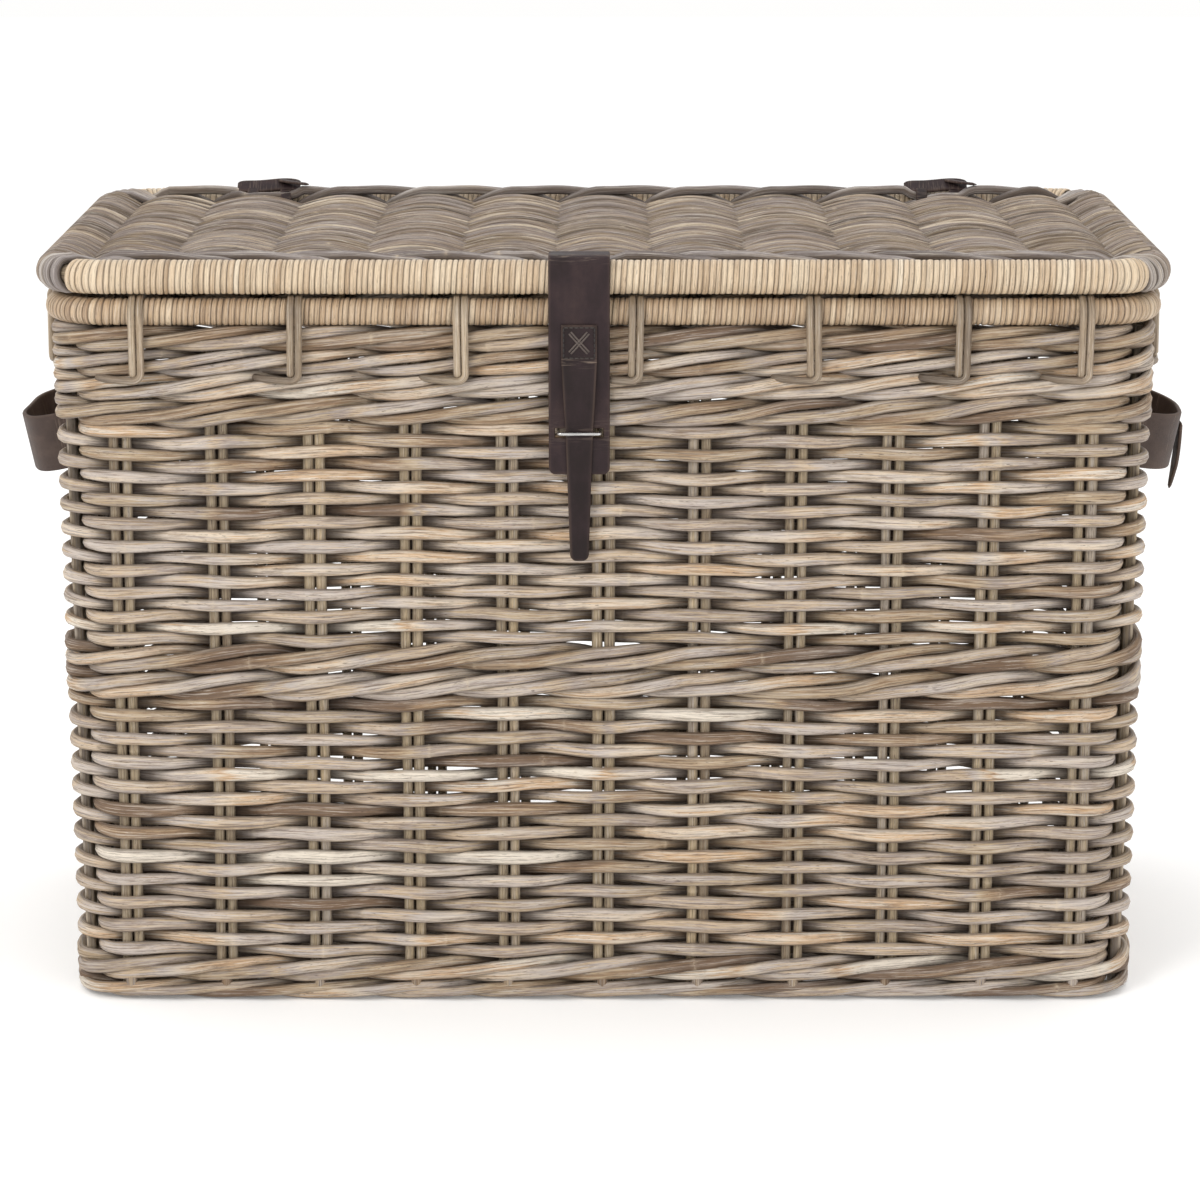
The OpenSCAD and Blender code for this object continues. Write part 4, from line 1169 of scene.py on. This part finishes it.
def handle(side, power, tail):
    """One leather handle: an arch outside, a run inside, and its ends through the two slots in the wall."""
    name = "right" if side > 0 else "left"
    lo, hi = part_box(f"handle_{name}")
    joint = next(j for j in frame["joints"] if j["name"] == f"handle_{name}_swing")
    axis_x, _, axis_z = joint["pos_m"]
    inner_x = (lo.x if side > 0 else hi.x) + side * 1.75 * MM
    a = np.linspace(0, pi, 61)
    wave = np.abs(np.cos(a)) ** (2 / power) * np.sign(np.cos(a))
    arch = np.stack([axis_x + side * HANDLE_REACH * np.sin(a) ** (2 / power), -PITCH * wave, 0 * a], 1)
    loop = rounded_path([(inner_x, 0, 0), (inner_x, -PITCH, 0), (axis_x, -PITCH, 0)], [4 * MM], 2 * MM)[:-1]
    line = np.concatenate([loop, arch, loop[::-1] * [1, -1, 1]])
    line = line[np.concatenate([[True], np.linalg.norm(np.diff(line, axis=0), axis=1) > 0.3 * MM])]
    up = np.tile(UP, (len(line), 1))
    normal = unit(np.cross(np.gradient(line, axis=0), up))
    # the arch droops about its hinge line
    past = np.maximum((line[:, 0] - axis_x) * side, 0)
    turned = smooth01(past / (5 * MM))[:, None]
    c, s = math.cos(HANDLE_DROOP), side * math.sin(HANDLE_DROOP)
    droop = np.array([[c, 0, -s], [0, 1, 0], [s, 0, c]])
    pivot = np.array([axis_x, 0, 0])
    line = np.where(past[:, None] > 0, (line - pivot) @ droop + pivot, line) + UP * axis_z
    normal = normal * (1 - turned) + normal @ droop * turned
    up = up * (1 - turned) + up @ droop * turned
    length = run_of(line)
    places = np.array([0.27, 0.36, 0.5, 0.62, 0.73]) * length[-1]
    crease = np.max([bump_at(length, 0.8, at, 3.2 * MM) for at in places], 0)
    line = line + normal * (0.7 * MM * np.sin(length * 95 + 1.0) * smooth01(past / (10 * MM)))[:, None]
    b = Build()
    half = HANDLE_HALF * (1 + 0.012 * np.sin(length * 60))
    b.plate(line, normal, up, half, HANDLE_T, inner=6, crease=crease)
    if tail:
        # the strap's pointed end, folded down over the arch
        mid = np.argmax(past)
        f = np.linspace(0, 1, 26)
        down, away = unit(np.array([-0.10 * side, 0.12, -1.0])), np.array([side, 0, -0.1 * side])
        path = line[mid] + up[mid] * 10 * MM + np.outer(f * 54 * MM, down)
        path = path + np.outer(3.6 * MM + 1.5 * MM * np.sin(f * pi), away)
        wide = np.interp(f, [0, 0.62, 0.9, 1.0], [12, 11, 4.5, 1.2]) * MM
        b.plate(path, unit(away), (0, side, 0), wide, 2.6 * MM, tone=0.6, crease=bump_at(f, 0.6, 0.1, 0.06))
    o = b.object(f"handle_{name}_leather", None, WORN_LEATHER, f"handle_{name}")
    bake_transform(o)


handle(1, 2.0, True)
handle(-1, 3.0, False)

# ---- the hinge straps
THONG_GAP, THONG_HALF, THONG_T = 13 * MM, 4.5 * MM, 2.6 * MM     # each thong stands THONG_GAP from the middle


def hinge_strap(side):
    """Two thongs round the back rods of the lid and the rim, a strip over them on top, and its knot."""
    name = "right" if side > 0 else "left"
    lo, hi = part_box(f"hinge_strap_{name}")
    mid_x = (lo.x + hi.x) / 2
    # a thong's outline round the two rods, flattened over the lid's cane, as y and z
    rim_r, lid_r = RIM_R + 1.9 * MM, LID_R + 1.9 * MM
    gap = np.array([LID_D - RIM_D, LID_Z - RIM_Z])
    far = np.linalg.norm(gap)
    way = math.atan2(gap[1], gap[0])
    spread = math.acos((rim_r - lid_r) / far)
    upper = np.linspace(way - spread, way + spread, 34)
    lower = np.linspace(way + spread, way - spread + 2 * pi, 30)
    y = np.concatenate([LID_D - 7 * MM + (lid_r + 6.5 * MM) * np.cos(upper), RIM_D + rim_r * np.cos(lower)])
    z = np.concatenate([LID_Z + (lid_r + 0.7 * MM) * np.sin(upper), RIM_Z + rim_r * np.sin(lower)])
    first = np.argmax(z)
    y, z = (np.append(np.roll(v, -first), v[first]) for v in (y, z))
    middle = np.array([mid_x, (LID_D + RIM_D) / 2, (LID_Z + RIM_Z) / 2])
    b = Build()
    for t in (-1, 1):
        x = np.full(len(y), mid_x + t * THONG_GAP)
        path = rounded_path(np.stack([x, y, z], 1), [8 * MM] * (len(y) - 2), 2 * MM)
        path[:, 0] += 0.5 * MM * np.sin(np.linspace(0, 2 * pi, len(path)) + side)
        n = path_normals(path)
        outward = math.copysign(1, ((path - middle) * n).sum())
        b.plate(path, outward * n, -outward * ACROSS, THONG_HALF, THONG_T, inner=1, bevel=0.9 * MM, tone=0.4,
                crease=0.3)
    top = LID_Z + LID_R + 3.2 * MM
    strip_y = LID_D - 14 * MM
    x = np.linspace(-26, 24, 34) * MM
    end = np.abs(x) / (26 * MM)
    path = np.stack([mid_x + x, strip_y + 0.6 * MM * np.sin(x * 70),
                     top + 0.8 * MM * np.sin(x * 120) - 1.6 * MM * end ** 6], 1)
    b.plate(path, (0, -0.62, 0.785), (0, 0.785, 0.62), 6.2 * MM * (1 - 0.2 * end ** 8), 3.2 * MM, inner=3,
            bevel=MM, crease=0.3)
    # the knot: the strip's end folded back over itself, with a short tail
    f = np.linspace(0, 1, 30)
    turn = f * pi * 1.5 + 0.6
    path = np.stack([mid_x + THONG_GAP + 5 * MM * np.cos(turn) + 15 * MM * f ** 3,
                     strip_y + 5 * MM * np.sin(turn), top + 1.6 * MM + 2.4 * MM * np.sin(f * pi)], 1)
    over = unit(np.cross(UP, np.gradient(path, axis=0)))
    b.plate(path, UP, over, 3.6 * MM * (1 - 0.4 * f ** 6), 2 * MM, inner=1, bevel=0.9 * MM, tone=0.55,
            crease=0.4)
    o = b.object(f"hinge_strap_{name}_leather", None, LEATHER, f"hinge_strap_{name}")
    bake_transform(o)


hinge_strap(1)
hinge_strap(-1)

# ---- floor, light and camera
scene = bpy.context.scene
floor_mat = bpy.data.materials.new("floor")
floor_mat.use_nodes = True
for name, value in (("Base Color", (0.9, 0.9, 0.9, 1)), ("Roughness", 0.95), ("Emission Color", (1, 1, 1, 1)),
                    ("Emission Strength", 0.14)):
    floor_mat.node_tree.nodes["Principled BSDF"].inputs[name].default_value = value
bpy.ops.mesh.primitive_plane_add(size=14, location=(0, 2, -0.5 * MM))
floor = bpy.context.object
floor.name = "floor"
floor.data.materials.append(floor_mat)
floor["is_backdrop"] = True

world = bpy.data.worlds.new("studio")
scene.world = world
world.use_nodes = True
background = world.node_tree.nodes["Background"]
background.inputs["Color"].default_value = (1.0, 0.995, 0.985, 1)
background.inputs["Strength"].default_value = 1.0


def softbox(name, at, aim, size, power, colour=(1, 1, 1)):
    light = bpy.data.lights.new(name, "AREA")
    light.shape, light.energy, light.color = "RECTANGLE", power, colour
    light.size, light.size_y = size
    o = bpy.data.objects.new(name, light)
    o.location = at
    o.rotation_euler = (Vector(aim) - Vector(at)).to_track_quat("-Z", "Y").to_euler()
    scene.collection.objects.link(o)


softbox("key", (-1.6, -2.6, 2.3), (0, 0, 0.3), (1.2, 1.2), 44, (1, 0.985, 0.96))
softbox("fill", (2.2, -2.4, 1.4), (0, 0, 0.25), (1.6, 1.6), 12, (0.97, 0.985, 1))
softbox("top", (0.2, 0.6, 2.8), (0, 0, 0.4), (1.8, 1.2), 14)

camera = bpy.data.cameras.new("camera")
camera.sensor_width, camera.lens = 36, 123.5
camera.clip_end = 100
camera.shift_x = -0.0029
camera.dof.use_dof = False
cam = bpy.data.objects.new("camera", camera)
cam.location = (0, -3.070, 0.930)
cam.rotation_euler = (math.radians(90 - 12.46), 0, 0)
scene.collection.objects.link(cam)
scene.camera = cam
scene.view_settings.view_transform = "Standard"
scene.view_settings.look = "None"

lo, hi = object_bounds()
